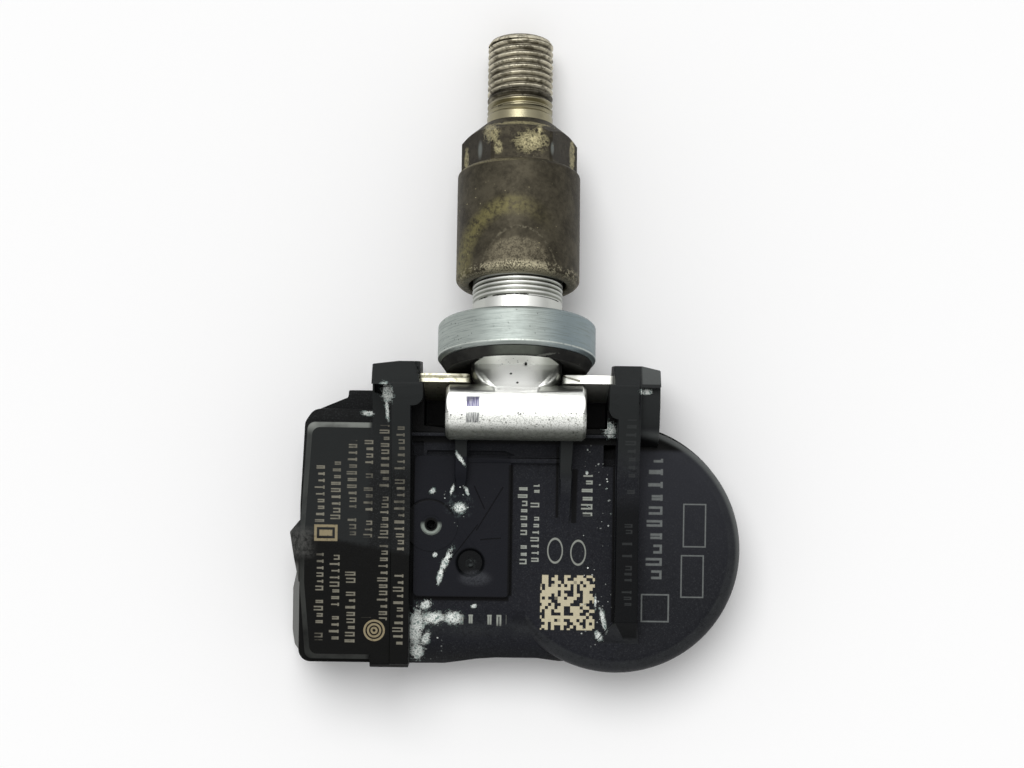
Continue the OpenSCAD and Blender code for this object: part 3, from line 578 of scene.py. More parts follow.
# %% [markdown]
# ## Plastic of the box
# The moulding is glass-filled black plastic. At the left it is a neutral black, over the deck and
# the round end it leans to a blue violet. Parts of its top are painted lighter as painted light, it
# is painted darker low down as painted shade in its recesses, and its edges are painted pale, a
# painted highlight mixed with some rubbed wear. All the marks together would be too much for one
# material, so the left block, the pad, the deck and the round end each have one of their own.

# %% Box plastic: what the four materials share
class Moulding(Finish):
    """Black plastic with grain, painted shade low down, and a painted highlight and wear on its edges."""

    def __init__(self, name, colour):
        super().__init__(name, Specular_IOR_Level=0.07)
        z = self.where[2]
        self.tilt = self.parts(self.node("NewGeometry", {}, {}, "Normal"))[2]
        self.grain = self.noise(0.16, detail=4, rough=0.7)
        self.crumbs = self.noise(0.5, detail=5, rough=0.75)
        self.clouds = self.noise(5, detail=5)
        self.deck = z.rise(9.9, 10.2)
        # Painted highlight: the edge mask paints the rounded edges paler, mixed with some rubbed wear.
        self.edge = self.tilt.rise(0.985, 0.93) * self.tilt.rise(0.3, 0.55) * self.clouds.rise(0.2, 0.6)
        # Painted shade: the plastic is painted darker low down, in its slots and recesses.
        self.colour = self.mix(colour, shade(16, 17, 18), z.rise(9.4, 7.5) * 0.8)
        self.cover(shade(64, 66, 66), self.edge * z.rise(9, 10) * 0.35)
        self.cover(shade(8, 8, 10), self.crumbs.rise(0.5, 0.36) * 0.4)
        self.cover(shade(64, 66, 68), self.grain.rise(0.5, 0.7) * 0.45)

    def ears(self, colour):
        """Colours what faces up at the top of the ears."""
        z = self.where[2]
        self.cover(colour, z.rise(13.6, 15.5) * self.tilt.rise(0.3, 0.7) * (0.8 + 0.3 * self.clouds))

    def specks(self):
        """Fine specks in drifts."""
        return self.dents(0.55).rise(0.24, 0.16) * self.noise(1.1).rise(0.52, 0.6)

    def splash(self, *spots):
        """Ragged lumps of dried white paste, each a centre, half sizes and a turn."""
        rag = (self.crumbs - 0.5) * 3.2 + (self.grain - 0.5) * 2
        return together((near(self, *spot) + rag).rise(1.15, 0.8) for spot in spots)

    def close(self, paste, cracks=0):
        """Adds the paste, and feeds the shader. Cracks are cut in."""
        paste = paste * self.where[2].rise(6, 7) * self.tilt.rise(0.2, 0.5)
        thick = (self.crumbs + self.grain).rise(0.8, 1.12)
        pale = self.mix(shade(104, 122, 118), shade(244, 247, 242), thick)
        self.cover(pale, paste)
        self.paint(colour=self.colour, roughness=0.34 + 0.22 * self.clouds + 0.3 * paste)
        self.relief((self.grain, 0.02), (self.noise(1.4), 0.03), (paste, 0.12), (1 - cracks, 0.03))
        print(self.material.name, "has", len(self.tree.nodes), "nodes")


# %% [markdown]
# The left block is plain, painted lighter above and darker below a slanting border as painted
# light and shade. Rows of bars stand where the real part is printed. All rows have one spacing, so
# one pattern serves them all.
# Each has an upper and a lower run, and two colour ramps hold where the runs lie.

# %% Left block
left_plastic = Moulding("plastic of the left block", shade(21, 22, 22))
f = left_plastic
x, y, z = f.where
block = x.rise(-16.6, -17.2)
# Painted light and shade: above the slanting border the top is painted lighter, below it darker.
upper = (y + 0.18 * x + (f.crumbs - 0.5) * 0.8).rise(-19.2, -18.4)
f.cover(shade(33, 35, 35), block * upper * z.rise(12, 12.8))
f.cover(shade(4, 4, 3), (1 - upper) * 0.92)
f.ears(shade(43, 45, 45))
f.cover(shade(36, 38, 38), (1 - block) * z.rise(12.6, 12.9) * y.rise(-9, -1) * 0.8)
# Painted highlight: a lit rim along the block's top edges and its step, brightest at the front.
step = z.rise(10.3, 10.5) * z.rise(11.2, 11) * 0.2
rim = z.rise(12.3, 12.5) * (0.14 + 0.9 * y.rise(-3, -1.5)) + step
f.cover(shade(128, 131, 126), f.edge * rim * block)
# Painted reflection: the steep left wall low on the block is painted pale grey.
f.cover(shade(96, 97, 94), x.rise(-24.9, -25.2) * y.rise(-17.5, -18.5) * (0.5 + 0.7 * f.clouds))
burr = x.rise(-22.6, -24.4) * y.rise(-13.2, -14.2) * y.rise(-17.6, -16.4)
f.cover(shade(74, 74, 72), burr * f.crumbs.rise(0.3, 0.7))

# Each row's number, and the Y where its run begins and ends. Row 3 has no lower run.
UPPER = [(0, -13, -6.1), (1, -12.8, -5.9), (2, -14.7, -3.5), (3, -14.7, -3.4), (4, -14.8, -1.7),
         (5, -16.4, -1.1)]
LOWER = [(0, -26.7, -16.6), (1, -26.7, -16.5), (2, -27, -18.5), (3, -24, -24), (4, -24.3, -15.6),
         (5, -27.1, -18.9)]
REACH = 30  # a ramp holds numbers from 0 to 1, so every Y is divided by this
BLUR = 0.002
PITCH = 1.86
GAP = 0.16  # the share of the pitch that is free on each side of a row
START = -23.63

line = (x - START) * (1 / PITCH)
number = line.math("FLOOR")
share = (number + 0.5) * (1 / len(UPPER))
spans = []
for table in (UPPER, LOWER):
    stops = [(n / len(table), (-low / REACH, -high / REACH, 0)) for n, low, high in table]
    low, high, _ = f.parts(f.node("ValToRGB", {"stops": stops}, {"Fac": share}, "Color"))
    down = y * (-1 / REACH)
    spans.append(down.rise(high - BLUR, high + BLUR) * down.rise(low + BLUR, low - BLUR))
top = z.rise(12.2, 12.6) * f.tilt.rise(0.8, 0.95)
u = (line.math("FRACT") - GAP) * (1 / (1 - 2 * GAP))
ink = bars(f, u, y * (1 / 0.78) + number * 0.4, number)
ink = ink * spans[0].most(spans[1]) * u.rise(-0.02, 0.02)
faded = f.clouds.rise(0.2, 0.55) * (0.35 + 0.65 * f.crumbs.rise(0.25, 0.5))
f.cover(shade(142, 138, 124), ink * top * faded * x.rise(-23.75, -23.65) * 0.72)
tan = outline(f, (-23.2, -15.2), (-20.5, -13.3), 0.3).most(patch(f, (-22.6, -14.6), (-21.1, -13.9)))
disc = near(f, (-16.1, -25.5), (1.33, 1.33))
tan = tan.most(disc.rise(1.03, 0.97) * (disc * 3.2).math("FRACT").rise(0.35, 0.5))
f.cover(shade(150, 138, 110), tan * top * (0.4 + 0.45 * f.crumbs.rise(0.3, 0.5)))
f.close(f.splash(((-14.9, 2.1), (0.75, 1.2), 15), ((-14.9, 0.2), (0.22, 1.5), 4),
                 ((-17.2, -0.35), (0.8, 0.3))))

# %% What the pad and the deck share
PRINT = shade(186, 190, 180)


def middle_plastic(name):
    """The plastic between the ears: black in the cradle as painted shade under the cross-bar, paler on
    what stands high.
    """
    made = Moulding(name, shade(27, 28, 33))
    _, y, z = made.where
    # Painted shade under the cross-bar.
    made.cover(shade(7, 7, 7), y.rise(-3.9, -3.5) * z.rise(11.9, 11.5))
    made.cover(shade(36, 38, 38), z.rise(12.4, 13))
    return made


# %% [markdown]
# The left half of the deck is the pad with its pressure port, a dimple and some scratches. Its
# seams are painted dark as painted shade, and dried paste lies in the corners, with streaks of it
# where it ran and fine specks round about.

# %% Pad
pad_plastic = middle_plastic("plastic of the pad")
f = pad_plastic
_, y, z = f.where
pad = patch(f, (-11.7, -21.6), (-0.5, -5.2), 0.08)
f.cover(shade(22, 23, 28), pad * f.deck)
seams = strokes(
    f, ((-0.45, -6.2), (-0.45, -21.4), 0.5), ((-11.6, -21.8), (-0.6, -21.8), 0.5),
    ((-11.9, -4), (-11.9, -29), 0.4))
# Painted shade along the pad's edges and at the foot of the left rib.
f.cover(shade(4, 4, 5), seams * f.deck)
cracks = strokes(
    f, ((-1.4, -8.8), (-4.4, -13.8), 0.11), ((-4.7, -8.7), (-3.5, -11.3), 0.1),
    ((-3.9, -14.9), (-1.6, -14.7), 0.11), ((-4.3, -13.2), (-7.6, -17.6), 0.09))
arc = near(f, (-9.9, -13.6), (3.1, 3.3))
cracks = cracks.most(hoop(arc, 0.05, 0.02) * y.rise(-12.4, -11.6)) * pad
f.cover(shade(8, 8, 10), cracks * f.deck)
port = near(f, (-9.7, -13.2), (1, 1))
# Painted shade: the port's opening is painted black.
f.cover(shade(4, 4, 4), port.rise(1.0, 0.7) * z.rise(10.9, 11.2))
# Painted highlight: a lit crescent on the port's lower rim.
lit_crescent = port.rise(0.7, 0.85) * port.rise(1.3, 1.1) * (y + 0.3 * f.crumbs).rise(-12.6, -13.3)
f.cover(shade(150, 158, 150), lit_crescent * f.deck * (0.5 + 0.6 * f.crumbs))
f.cover(shade(10, 11, 12), near(f, (-5.1, -17.6), (1.8, 1.8)).rise(1.1, 0.8) * f.deck * 0.9)
core = near(f, (-5.0, -17.7), (0.8, 0.8)).rise(1, 0.4)
f.cover(shade(58, 62, 62), core * f.deck * f.crumbs.rise(0.4, 0.7))
smudge = near(f, (-4.5, -19.4), (2.1, 1.0)).rise(1.15, 0.4)
f.cover(shade(66, 68, 72), smudge * f.deck * f.grain.rise(0.2, 0.7) * 0.8)
ink = row(f, (-10.3, -25.2), (-0.8, -23.7), 1.1, 50, 1)
f.cover(PRINT, ink * f.deck * (0.55 + 0.4 * f.crumbs) * 0.8)
print("pad ready")

# %% Paste on the pad
specks = f.specks() * together([
    patch(f, (-11.8, -29), (-8.6, -22.2), 0.6), near(f, (-6.6, -11), (1.9, 2.7)).rise(1.1, 0.8),
    near(f, (-2.4, -9.9), (1.2, 0.9)).rise(1.1, 0.8)])
haze = near(f, (-10.2, -26.2), (2.8, 3)).rise(1.1, 0.5)
haze = haze.most(near(f, (-6.4, -11), (1.9, 1.6)).rise(1.1, 0.5))
f.cover(shade(78, 88, 88), haze * f.deck * f.crumbs.rise(0.5, 0.62) * 0.7)
paste = f.splash(
    ((-7.9, -17.4), (0.42, 1.5), -24), ((-8.5, -18.9), (0.32, 1.4), -14), ((-9.2, -16.7), (0.3, 0.3)),
    ((-10.2, -22.6), (0.75, 0.55), 30), ((-9.3, -24.2), (1.5, 0.75), 8), ((-7.0, -24.1), (1.1, 0.8)),
    ((-4.6, -22.7), (0.35, 0.25), 20), ((-11.3, -25.4), (0.9, 2.4), -8), ((-11.2, -28.2), (0.8, 1.2)),
    ((-10.2, -26.6), (0.5, 0.9), -20), ((-5.6, -9.2), (0.2, 0.65), 25), ((-7.3, -9.1), (0.2, 0.7), -15),
    ((-6.4, -11.2), (0.8, 0.6)), ((-6.4, -5.4), (0.25, 0.9), 35), ((-9.6, -9.3), (0.35, 0.35)))
f.close(paste.most(specks), cracks)

# %% [markdown]
# The right half of the deck is plain, between the pad and the right rib. It bears the pale print:
# two rows of bars, a short row, two plain rings and a cream field of seeded squares.

# %% Deck
SQUARE = 0.37

deck_plastic = middle_plastic("plastic of the deck")
f = deck_plastic
x, y, _ = f.where
seams = strokes(
    f, ((7.0, -6.6), (6.9, -12.8), 0.6), ((4.95, -4), (4.95, -12.2), 0.3),
    ((11.65, -4), (11.65, -24.3), 0.4))
# Painted shade in the deck's seams and at the foot of the right rib.
f.cover(shade(4, 4, 5), seams * f.deck)
# Painted shade: the narrow pocket beside the right rib is painted black.
f.cover(shade(3, 3, 4), patch(f, (10.4, -5.4), (11.8, -3.6), 0.1))
# Painted shade: a dark band from the pad's lower corner toward the round end.
f.cover(shade(12, 12, 14), stroke(f, (0.3, -23.6), (3.3, -27.6), 1.4) * f.deck * 0.3)
top = f.deck * f.tilt.rise(0.8, 0.95)
ink = together([
    row(f, (0.3, -17.8), (1.5, -8.7), 0.85, 41), row(f, (1.8, -17.6), (2.9, -8.4), 0.8, 44),
    row(f, (7.7, -12), (9.1, -7.2), 0.95, 47)])
for centre in ((4.8, -16.1), (7.5, -16.3)):
    ink = ink.most(hoop(near(f, centre, (0.85, 1.4)), 0.12, 0.05) * 0.8)
f.cover(PRINT, ink * top * (0.55 + 0.4 * f.crumbs) * 0.85)
cell_x, cell_y = ((part * (1 / SQUARE)).math("FLOOR") for part in (x, y))
squares = f.chance(cell_x, cell_y, 5).rise(0.4, 0.42)
field = patch(f, (3.15, -25.35), (9.5, -18.95), 0.05)
f.cover(shade(206, 197, 168), field * squares * top * (0.7 + 0.3 * f.crumbs))
specks = f.specks() * patch(f, (8, -27), (11.2, -4), 0.5)
f.close(specks.most(f.splash(
    ((10.5, -24.0), (0.3, 1.5), 13), ((10.0, -26.0), (0.42, 0.6), 20), ((11.0, -1.9), (0.75, 0.95)),
    ((10.5, 1.2), (0.14, 2.1)), ((8.4, -7.0), (0.2, 0.25)), ((9.6, -22.0), (0.15, 0.8)))))

# %% [markdown]
# The round end is painted lighter toward the stem as painted light, and its shoulder has a painted
# highlight. Its row of bars and its plain outlines are faint, and the rib beside it has bars of a
# colour near its own.

# %% Round end and right rib
END_CENTRE = (12, -15.95)
END_RADIUS = 14.7

end_plastic = Moulding("plastic of the round end", shade(27, 28, 32))
f = end_plastic
x, y, z = f.where
from_disc = near(f, END_CENTRE, (END_RADIUS, END_RADIUS))
out = x.rise(14.3, 14.6)
# Painted light: the outer part of the round end is painted lighter toward the stem.
f.cover(shade(44, 45, 50), out * y.rise(-24, -4) * (0.6 + 0.8 * f.clouds) * 0.75)
f.ears(shade(38, 40, 40))
rib = (1 - out) * z.rise(10.9, 11.4)
f.cover(shade(6, 7, 8), rib * y.rise(-8, -12) * 0.9)
# Painted shade: the steep roll behind the right ear's head is painted black.
f.cover(shade(5, 5, 5), out * y.rise(-4.6, -4) * z.rise(15.6, 13.2))
# Painted highlight on the round end's shoulder, stronger toward the upper right.
shoulder = from_disc.rise(0.9, 0.98) * f.tilt.rise(0.15, 0.35) * f.tilt.rise(0.8, 0.6)
f.cover(shade(92, 95, 94), shoulder * out * (y + 0.9 * x).rise(-2, 12) * 0.8)
top = f.deck * f.tilt.rise(0.8, 0.95)
ink = together([
    row(f, (15.3, -20.7), (17.3, -5.2), 1.5, 61), outline(f, (14.9, -24.3), (18.2, -21), 0.17),
    outline(f, (19.7, -15.5), (22.4, -10.4), 0.15), outline(f, (19.5, -21.4), (22.2, -16.4), 0.15)])
f.cover(shade(128, 132, 130), ink * top * (0.3 + 0.6 * f.crumbs))
raised = row(f, (12.4, -22.4), (13.7, -12.6), 0.7, 71)
raised = raised.most(row(f, (12.5, -9.4), (13.9, -0.6), 0.95, 74))
f.cover(shade(58, 60, 60), raised * rib * 0.55)
f.close(f.splash(((14.9, 2.6), (0.75, 0.36))))

# %% [markdown]
# The welded cover under the box is the same plastic with a coarser grain. Where it rests on things
# it is scuffed pale in streaks.

# %% Cover
cover_finish = Finish("moulded cover plastic", Specular_IOR_Level=0.08)
f = cover_finish
z = f.where[2]
grain = f.noise(0.2, detail=4, rough=0.7)
streaks = f.noise(0.5, (0.15, 1, 1), detail=4)
f.colour = f.mix(shade(18, 18, 19), shade(40, 41, 42), f.noise(5, detail=5).rise(0.35, 0.8))
f.cover(shade(86, 88, 88), streaks.rise(0.6, 0.72) * z.rise(0.5, 0) * 0.6)
f.paint(colour=f.colour, roughness=0.38 + 0.25 * grain)
f.relief((grain, 0.03), (streaks, 0.02))

# %% [markdown]
# ## Metals along the stem
# The stem, its ring and its nut are marked in their own directions: X across, Y along the stem
# from the swivel, Z away from its axis on the upper side. A lathe leaves fine rings, which are noise
# that varies along the stem only.

# %% Turned metal
class Turned(Finish):
    """A finish measured along the stem."""

    def __init__(self, name, **fixed):
        super().__init__(name, **fixed)
        self.place = self.node("Mapping", {"vector_type": "TEXTURE"}, {
            "Vector": self.place, "Location": (0, 0, AXIS_HEIGHT), "Rotation": (-DROOP, 0, 0)})
        self.where = self.parts(self.place)
        x, _, high = self.where
        self.far = (x * x + high * high).math("SQRT")
        self.side = x.math("ABSOLUTE")
        self.up = high.rise(-0.5, 0.5)
        self.rings = self.noise(0.1, (0.03, 1, 0.03))
        self.fine = self.noise(0.18, detail=4, rough=0.7)
        self.crumbs = self.noise(0.6, detail=5, rough=0.7)
        self.clouds = self.noise(3, detail=4)

    def within(self, low, high, soft=0.1):
        """1 between two distances along the stem."""
        along = self.where[1]
        return along.rise(low - soft, low + soft) * along.rise(high + soft, high - soft)

    def ragged(self, centre, half, turn=0):
        """A spot with torn edges, on the upper side."""
        rag = (self.crumbs - 0.5) * 3 + (self.fine - 0.5) * 1.4
        return (near(self, centre, half, turn) + rag).rise(1.15, 0.8) * self.up


# %% [markdown]
# The cross-bar has a bright milled flat, a speckled band in front of it and a front painted dark as
# a painted dark reflection. The neck is painted bright in the middle as a painted highlight and
# darker at the sides as painted shade. The cap thread is old: olive, with black dirt in the groove
# and bright rubbed crests that also carry a painted highlight.

# %% Stem
stem_finish = Turned("satin turned alloy", Metallic=1.0)
f = stem_finish
along = f.where[1]
f.colour = f.mix(shade(226, 227, 221), shade(246, 247, 243), f.clouds)
neck = along.rise(2.6, 3.4)
# Painted shade: the neck is painted darker at its sides, and darker still where it meets the cross-bar.
f.cover(shade(148, 151, 143), f.side.rise(1.6, 4.6) * neck * 0.66)
f.cover(shade(116, 119, 112), f.within(2.6, 4.6, 0.2) * f.side.rise(2.7, 3.4) * 0.4)
front = along.rise(-1.7, -2.8)
satin = along.rise(-0.62, -0.74)
pits = f.dents(0.42).rise(0.3, 0.12) * f.crumbs.rise(0.42, 0.6)
f.cover(shade(150, 153, 146), satin * f.fine.rise(0.48, 0.62) * 0.7)
# Painted dark reflection on the cross-bar's front.
f.cover(shade(92, 95, 88), front * (0.75 + 0.35 * f.crumbs))
f.cover(shade(58, 60, 56), satin * pits * 0.8)
f.cover(shade(120, 118, 108), satin * f.crumbs.rise(0.6, 0.68) * 0.7)
bar = along.rise(2.7, 2.5) * f.up
hatch = f.noise(0.1, (1, 0.08, 0.08), detail=1).rise(0.35, 0.65)
f.cover(shade(70, 68, 92), patch(f, (-5.7, -0.1), (-4.2, 1.2), 0.1) * bar * (0.85 + 0.15 * hatch))
f.cover(shade(118, 120, 120), patch(f, (-5.7, -1.85), (-4.2, -0.75), 0.1) * bar * (0.5 + 0.5 * hatch))
f.cover(shade(110, 112, 104), f.within(-0.76, -0.68, 0.05) * f.crumbs.rise(0.44, 0.56) * bar)
dots = together(near(f, spot, (0.17, 0.14)).rise(1.2, 0.6)
                for spot in ((-0.64, 4.09), (0.12, 2.98), (1.06, 5.26)))
f.cover(shade(44, 46, 42), dots.most(pits * f.within(4.3, 5.6) * f.side.rise(2.4, 1.4)) * f.up)
f.cover(shade(96, 100, 88), f.within(*NUT_THREAD) * f.far.rise(NUT_CREST - 0.03, NUT_CREST - 0.12) * 0.8)
tip = along.rise(34.2, 34.5)
f.cover(shade(146, 140, 116), tip)
threaded = along.rise(37.3, 37.6)
f.cover(shade(218, 212, 192), threaded)
f.cover(shade(158, 152, 132), threaded * f.clouds.rise(0.4, 0.6) * 0.7)
dirt = f.far.rise(CAP_CREST - 0.09, CAP_CREST - 0.33) * (0.35 + f.crumbs)
dirt = dirt.most(f.crumbs.rise(0.54, 0.64) * 0.7)
f.cover(shade(62, 56, 46), dirt * threaded * 0.85)
blotch = f.noise(1.1, (0.6, 1.6, 1), detail=5, rough=0.7)
f.cover(shade(84, 78, 64), blotch.rise(0.5, 0.62) * threaded * 0.8)
f.cover(shade(40, 36, 30), f.within(37.7, 38.4, 0.15) * (0.6 + 0.5 * f.crumbs))
# The crests are rubbed bare, and their bright colour is also a painted highlight.
rubbed = f.far.rise(CAP_CREST - 0.05, CAP_CREST - 0.01) * f.fine.rise(0.5, 0.62)
rubbed = rubbed * f.within(40.6, 43.8, 0.4)
f.cover(shade(226, 221, 202), rubbed * threaded)
# Painted highlight: the top of the neck is painted near white and not metallic.
neck_highlight = f.within(2.5, 5.2, 0.4) * f.side.rise(3.4, 0.8) * f.up
f.cover(shade(253, 254, 250), neck_highlight * (1 - dots))
f.paint(colour=f.colour, roughness=0.26 + 0.14 * f.fine + 0.2 * satin + 0.22 * threaded,
        metallic=1 - neck_highlight)
f.relief((f.rings, 0.012), (f.fine, 0.012), (1 - pits * satin.most(threaded), 0.05), (1 - dots, 0.04))
print("stem has", len(f.tree.nodes), "nodes")

# %% Ring
ring_finish = Turned("zinc plate", Metallic=1.0)
f = ring_finish
x = f.where[0]
f.colour = f.mix(shade(152, 160, 156), shade(178, 185, 180), f.clouds)
f.cover(shade(120, 136, 144), x.rise(1.5, 6) * (0.6 + 0.5 * f.clouds) * 0.8)
f.cover(shade(120, 128, 124), f.rings.rise(0.5, 0.62) * 0.5)
# Painted shade: the top middle of the ring is painted darker to tone down its highlight.
f.cover(shade(124, 129, 125), x.rise(-3.4, -1) * x.rise(4, 1.4) * f.up * (0.2 + 0.4 * f.rings))
specks = f.dents(0.5).rise(0.2, 0.1) * f.crumbs.rise(0.45, 0.6)
f.cover(shade(60, 66, 66), specks * (0.35 + x.rise(-3.8, -4.6)))
f.cover(shade(205, 210, 203), f.far.rise(9.12, 9.16) * f.within(6, 6.4, 0.05) * f.crumbs.rise(0.3, 0.5))
f.paint(colour=f.colour, roughness=0.4 + 0.2 * f.crumbs)
f.relief((f.rings, 0.03), (f.fine, 0.01), (1 - specks, 0.03))

# %% Rubber
seal_finish = Turned("moulded rubber", Specular_IOR_Level=0.12)
f = seal_finish
f.colour = f.mix(shade(22, 22, 21), shade(44, 44, 41), f.clouds.rise(0.3, 0.7))
# Painted highlight on the lit chamfer of the rubber's outer rim, over the middle.
f.cover(shade(84, 88, 80), f.far.rise(8.05, 8.3) * f.side.rise(3.6, 1.6) * f.up * (0.5 + 0.8 * f.crumbs))
dust = f.ragged((3.3, 5.0), (1.2, 0.1), 14).most(f.dents(0.6).rise(0.16, 0.1) * f.crumbs.rise(0.45, 0.6))
f.cover(shade(96, 98, 92), dust * 0.7)
f.paint(colour=f.colour, roughness=0.6 + 0.2 * f.crumbs)
f.relief((f.fine, 0.03), (dust, 0.04))

# %% [markdown]
# The nut is anodised dark brown. Spanners and stones have worn its hexagon to gold in ragged
# patches, the mouth is rubbed bare, and faint arches of oil colour cross the collar.

# %% Nut
nut_finish = Turned("dark anodised alloy", Metallic=0.75, Specular_IOR_Level=0.3)
f = nut_finish
x, along, _ = f.where
f.colour = f.mix(shade(50, 46, 37), shade(80, 75, 62), (0.6 * f.clouds + 0.4 * f.crumbs).rise(0.35, 0.65))
arch = hoop(near(f, (-0.5, 16.4), (5.9, 6.6)), 0.26, 0.02)
f.cover(shade(112, 106, 70), arch * x.rise(5, -4) * f.up * f.crumbs.rise(0.3, 0.62))
arch = hoop(near(f, (0.1, 14.2), (4.5, 6.1)), 0.035, 0.01)
f.cover(shade(112, 107, 90), arch * f.up * 0.6 * f.crumbs.rise(0.42, 0.6))
dome = near(f, (-0.1, 16.9), (3.8, 2.3)).rise(1.05, 0.8) * f.up
f.cover(shade(122, 115, 96), dome * (0.5 * f.fine + 0.5 * f.crumbs).rise(0.4, 0.62) * 0.8)
hexed = along.rise(28.9, 29.2)
f.cover(shade(40, 36, 30), hexed * f.crumbs.rise(0.42, 0.6) * 0.8)
# Painted shade on the sloping sides of the hexagon.
f.cover(shade(46, 42, 35), hexed * f.side.rise(3.1, 3.5) * 0.6)
scars = together([
    f.ragged((-3.3, 32.3), (0.8, 1.5), 10), f.ragged((-2.5, 30.2), (0.45, 0.8)),
    f.ragged((1.3, 31.0), (1.8, 1.3), 8), f.ragged((2.3, 32.6), (0.3, 0.9)),
    f.ragged((-6.2, 30.0), (0.28, 1.4)), f.ragged((6.2, 31.0), (0.3, 2.4)),
    f.ragged((0.4, 33.4), (3.2, 0.32))])
scars = scars * (0.5 * f.fine + 0.5 * f.crumbs).rise(0.36, 0.56)
f.cover(shade(168, 160, 124), scars * 0.9)
tears = near(f, (-4.59, 30.5), (0.26, 1.1)).rise(1.3, 0.4)
tears = tears.most(near(f, (3.8, 30.25), (0.2, 0.8)).rise(1.3, 0.4))
f.cover(shade(116, 120, 116), tears * f.up * 0.8)
mouth = f.within(14.8, 16.2, 0.4) * (f.crumbs + 0.25 * f.side.rise(4.5, 2.5)).rise(0.5, 0.62)
lip = f.within(14.9, 15.35, 0.1)
mouth = mouth * f.fine.rise(0.38, 0.56)
f.cover(shade(178, 171, 144), mouth * 0.9)
f.cover(shade(146, 140, 118), lip * f.fine.rise(0.38, 0.56) * 0.7)
# Painted highlight along the chamfer at the top of the collar, stronger at the left.
brow_highlight = f.within(28.3, 28.75, 0.12) * f.fine.rise(0.3, 0.6)
f.cover(shade(140, 132, 104), brow_highlight * x.rise(2, -2) * 0.7)
specks = f.dents(0.7).rise(0.1, 0.06) * f.crumbs.rise(0.5, 0.6)
f.cover(shade(190, 180, 140), specks)
bare = scars.most(mouth).most(lip * 0.6)
f.paint(colour=f.colour, roughness=0.5 - 0.1 * bare + 0.2 * f.fine)
f.relief((f.rings, 0.01), (f.crumbs, 0.03), (1 - bare, 0.04), (f.fine, 0.012))
print("nut has", len(f.tree.nodes), "nodes")

# %% [markdown]
# The clip is bright stainless plate, yellowed at the left and pitted at its sheared edges.

# %% Clip
clip_finish = Finish("bright stamped steel", Metallic=1.0)
f = clip_finish
x = f.where[0]
fine = f.noise(0.2, (0.3, 1, 1), detail=4)
crumbs = f.noise(0.5, detail=5, rough=0.7)
f.colour = f.mix(shade(206, 204, 184), shade(218, 219, 212), x.rise(-4, 4))
f.cover(shade(150, 146, 112), crumbs.rise(0.5, 0.66) * x.rise(2, -4) * 0.8)
fold = strokes(f, ((-11.5, 4.02), (-5.4, 4.12), 0.2), ((5.4, 4.3), (7.3, 3.75), 0.16))
f.cover(shade(96, 92, 70), fold * crumbs.rise(0.3, 0.5) * 0.8)
pits = f.dents(0.5).rise(0.16, 0.08) * crumbs.rise(0.48, 0.6)
f.cover(shade(92, 90, 78), pits)
f.paint(colour=f.colour, roughness=0.36 + 0.25 * crumbs)
f.relief((fine, 0.02), (1 - pits, 0.04), (1 - fold, 0.05))

# %% [markdown]
# ## Finishes of the parts inside
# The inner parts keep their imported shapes. They show when the box is opened or cut, so each has
# noise of its own kind: rings on turned brass, a grid of tracks on the board, turns on the coil.

# %% Tools for the inner parts
def metal(name, dark, light, stretch, roughness=0.3, kind=Finish):
    """A metal whose noise is stretched, as rolling or turning leaves it."""
    made = kind(name, Metallic=1.0)
    grain = made.noise(0.12, stretch, detail=4)
    made.paint(colour=made.mix(shade(*dark), shade(*light), grain.rise(0.3, 0.7)),
               roughness=roughness + 0.2 * made.noise(0.8))
    made.relief((grain, 0.012))
    return made


def soft(name, dark, light, size, roughness=0.6):
    """A dull surface with clouds and fine grain."""
    made = Finish(name, Specular_IOR_Level=0.3)
    grain = made.noise(size, detail=5, rough=0.7)
    share = (0.5 * grain + 0.5 * made.noise(2)).rise(0.35, 0.65)
    made.paint(colour=made.mix(shade(*dark), shade(*light), share), roughness=roughness + 0.2 * grain)
    made.relief((grain, 0.02))
    return made


# %% Finishes of the inner parts
brass = metal("turned brass", (168, 138, 74), (214, 186, 118), (0.04, 1, 0.04), kind=Turned)
wire = metal("drawn spring wire", (140, 140, 138), (206, 206, 202), (1, 1, 1))
can = metal("pressed cell can", (170, 172, 172), (214, 215, 214), (0.1, 1, 0.6), 0.24)
nickel = metal("rolled nickel strip", (176, 172, 160), (216, 212, 200), (0.06, 1, 1))
bronze = metal("stamped bronze", (168, 138, 84), (206, 178, 122), (1, 0.08, 1))
lid = metal("crystal lid", (168, 168, 162), (208, 208, 202), (0.1, 1, 1), 0.22)
white = soft("white gasket", (206, 202, 188), (236, 232, 222), 0.2)
grey = soft("silicone gasket", (54, 54, 54), (82, 82, 80), 0.15, 0.55)
ferrite = soft("sintered ferrite", (34, 34, 37), (66, 66, 70), 0.1, 0.5)
ceramic = soft("fired ceramic", (120, 96, 66), (190, 172, 140), 0.6, 0.4)

board = Finish("solder mask", Roughness=0.35, Coat_Weight=0.3)
f = board
x, y, _ = f.where
LANES = 1.4  # tracks to a millimetre
lane = f.chance((x * 0.5).math("FLOOR"), (y * LANES).math("FLOOR"), 3)
track = ((y * LANES).math("FRACT") - 0.5).math("ABSOLUTE").rise(0.2, 0.14) * lane.rise(0.4, 0.42)
via = f.dents(1.6).rise(0.2, 0.16)
green = f.mix(shade(22, 74, 44), shade(34, 96, 56), f.noise(3))
green = f.mix(green, shade(58, 124, 74), track * 0.8)
f.paint(colour=f.mix(green, shade(196, 168, 96), via))
f.relief((track, 0.02), (f.noise(0.3), 0.004))

winding = Finish("enamelled wire", Metallic=0.9)
f = winding
WIRE = 0.16
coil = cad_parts["coil_winding"]
longest = max(range(3), key=lambda axis: coil.dimensions[axis])
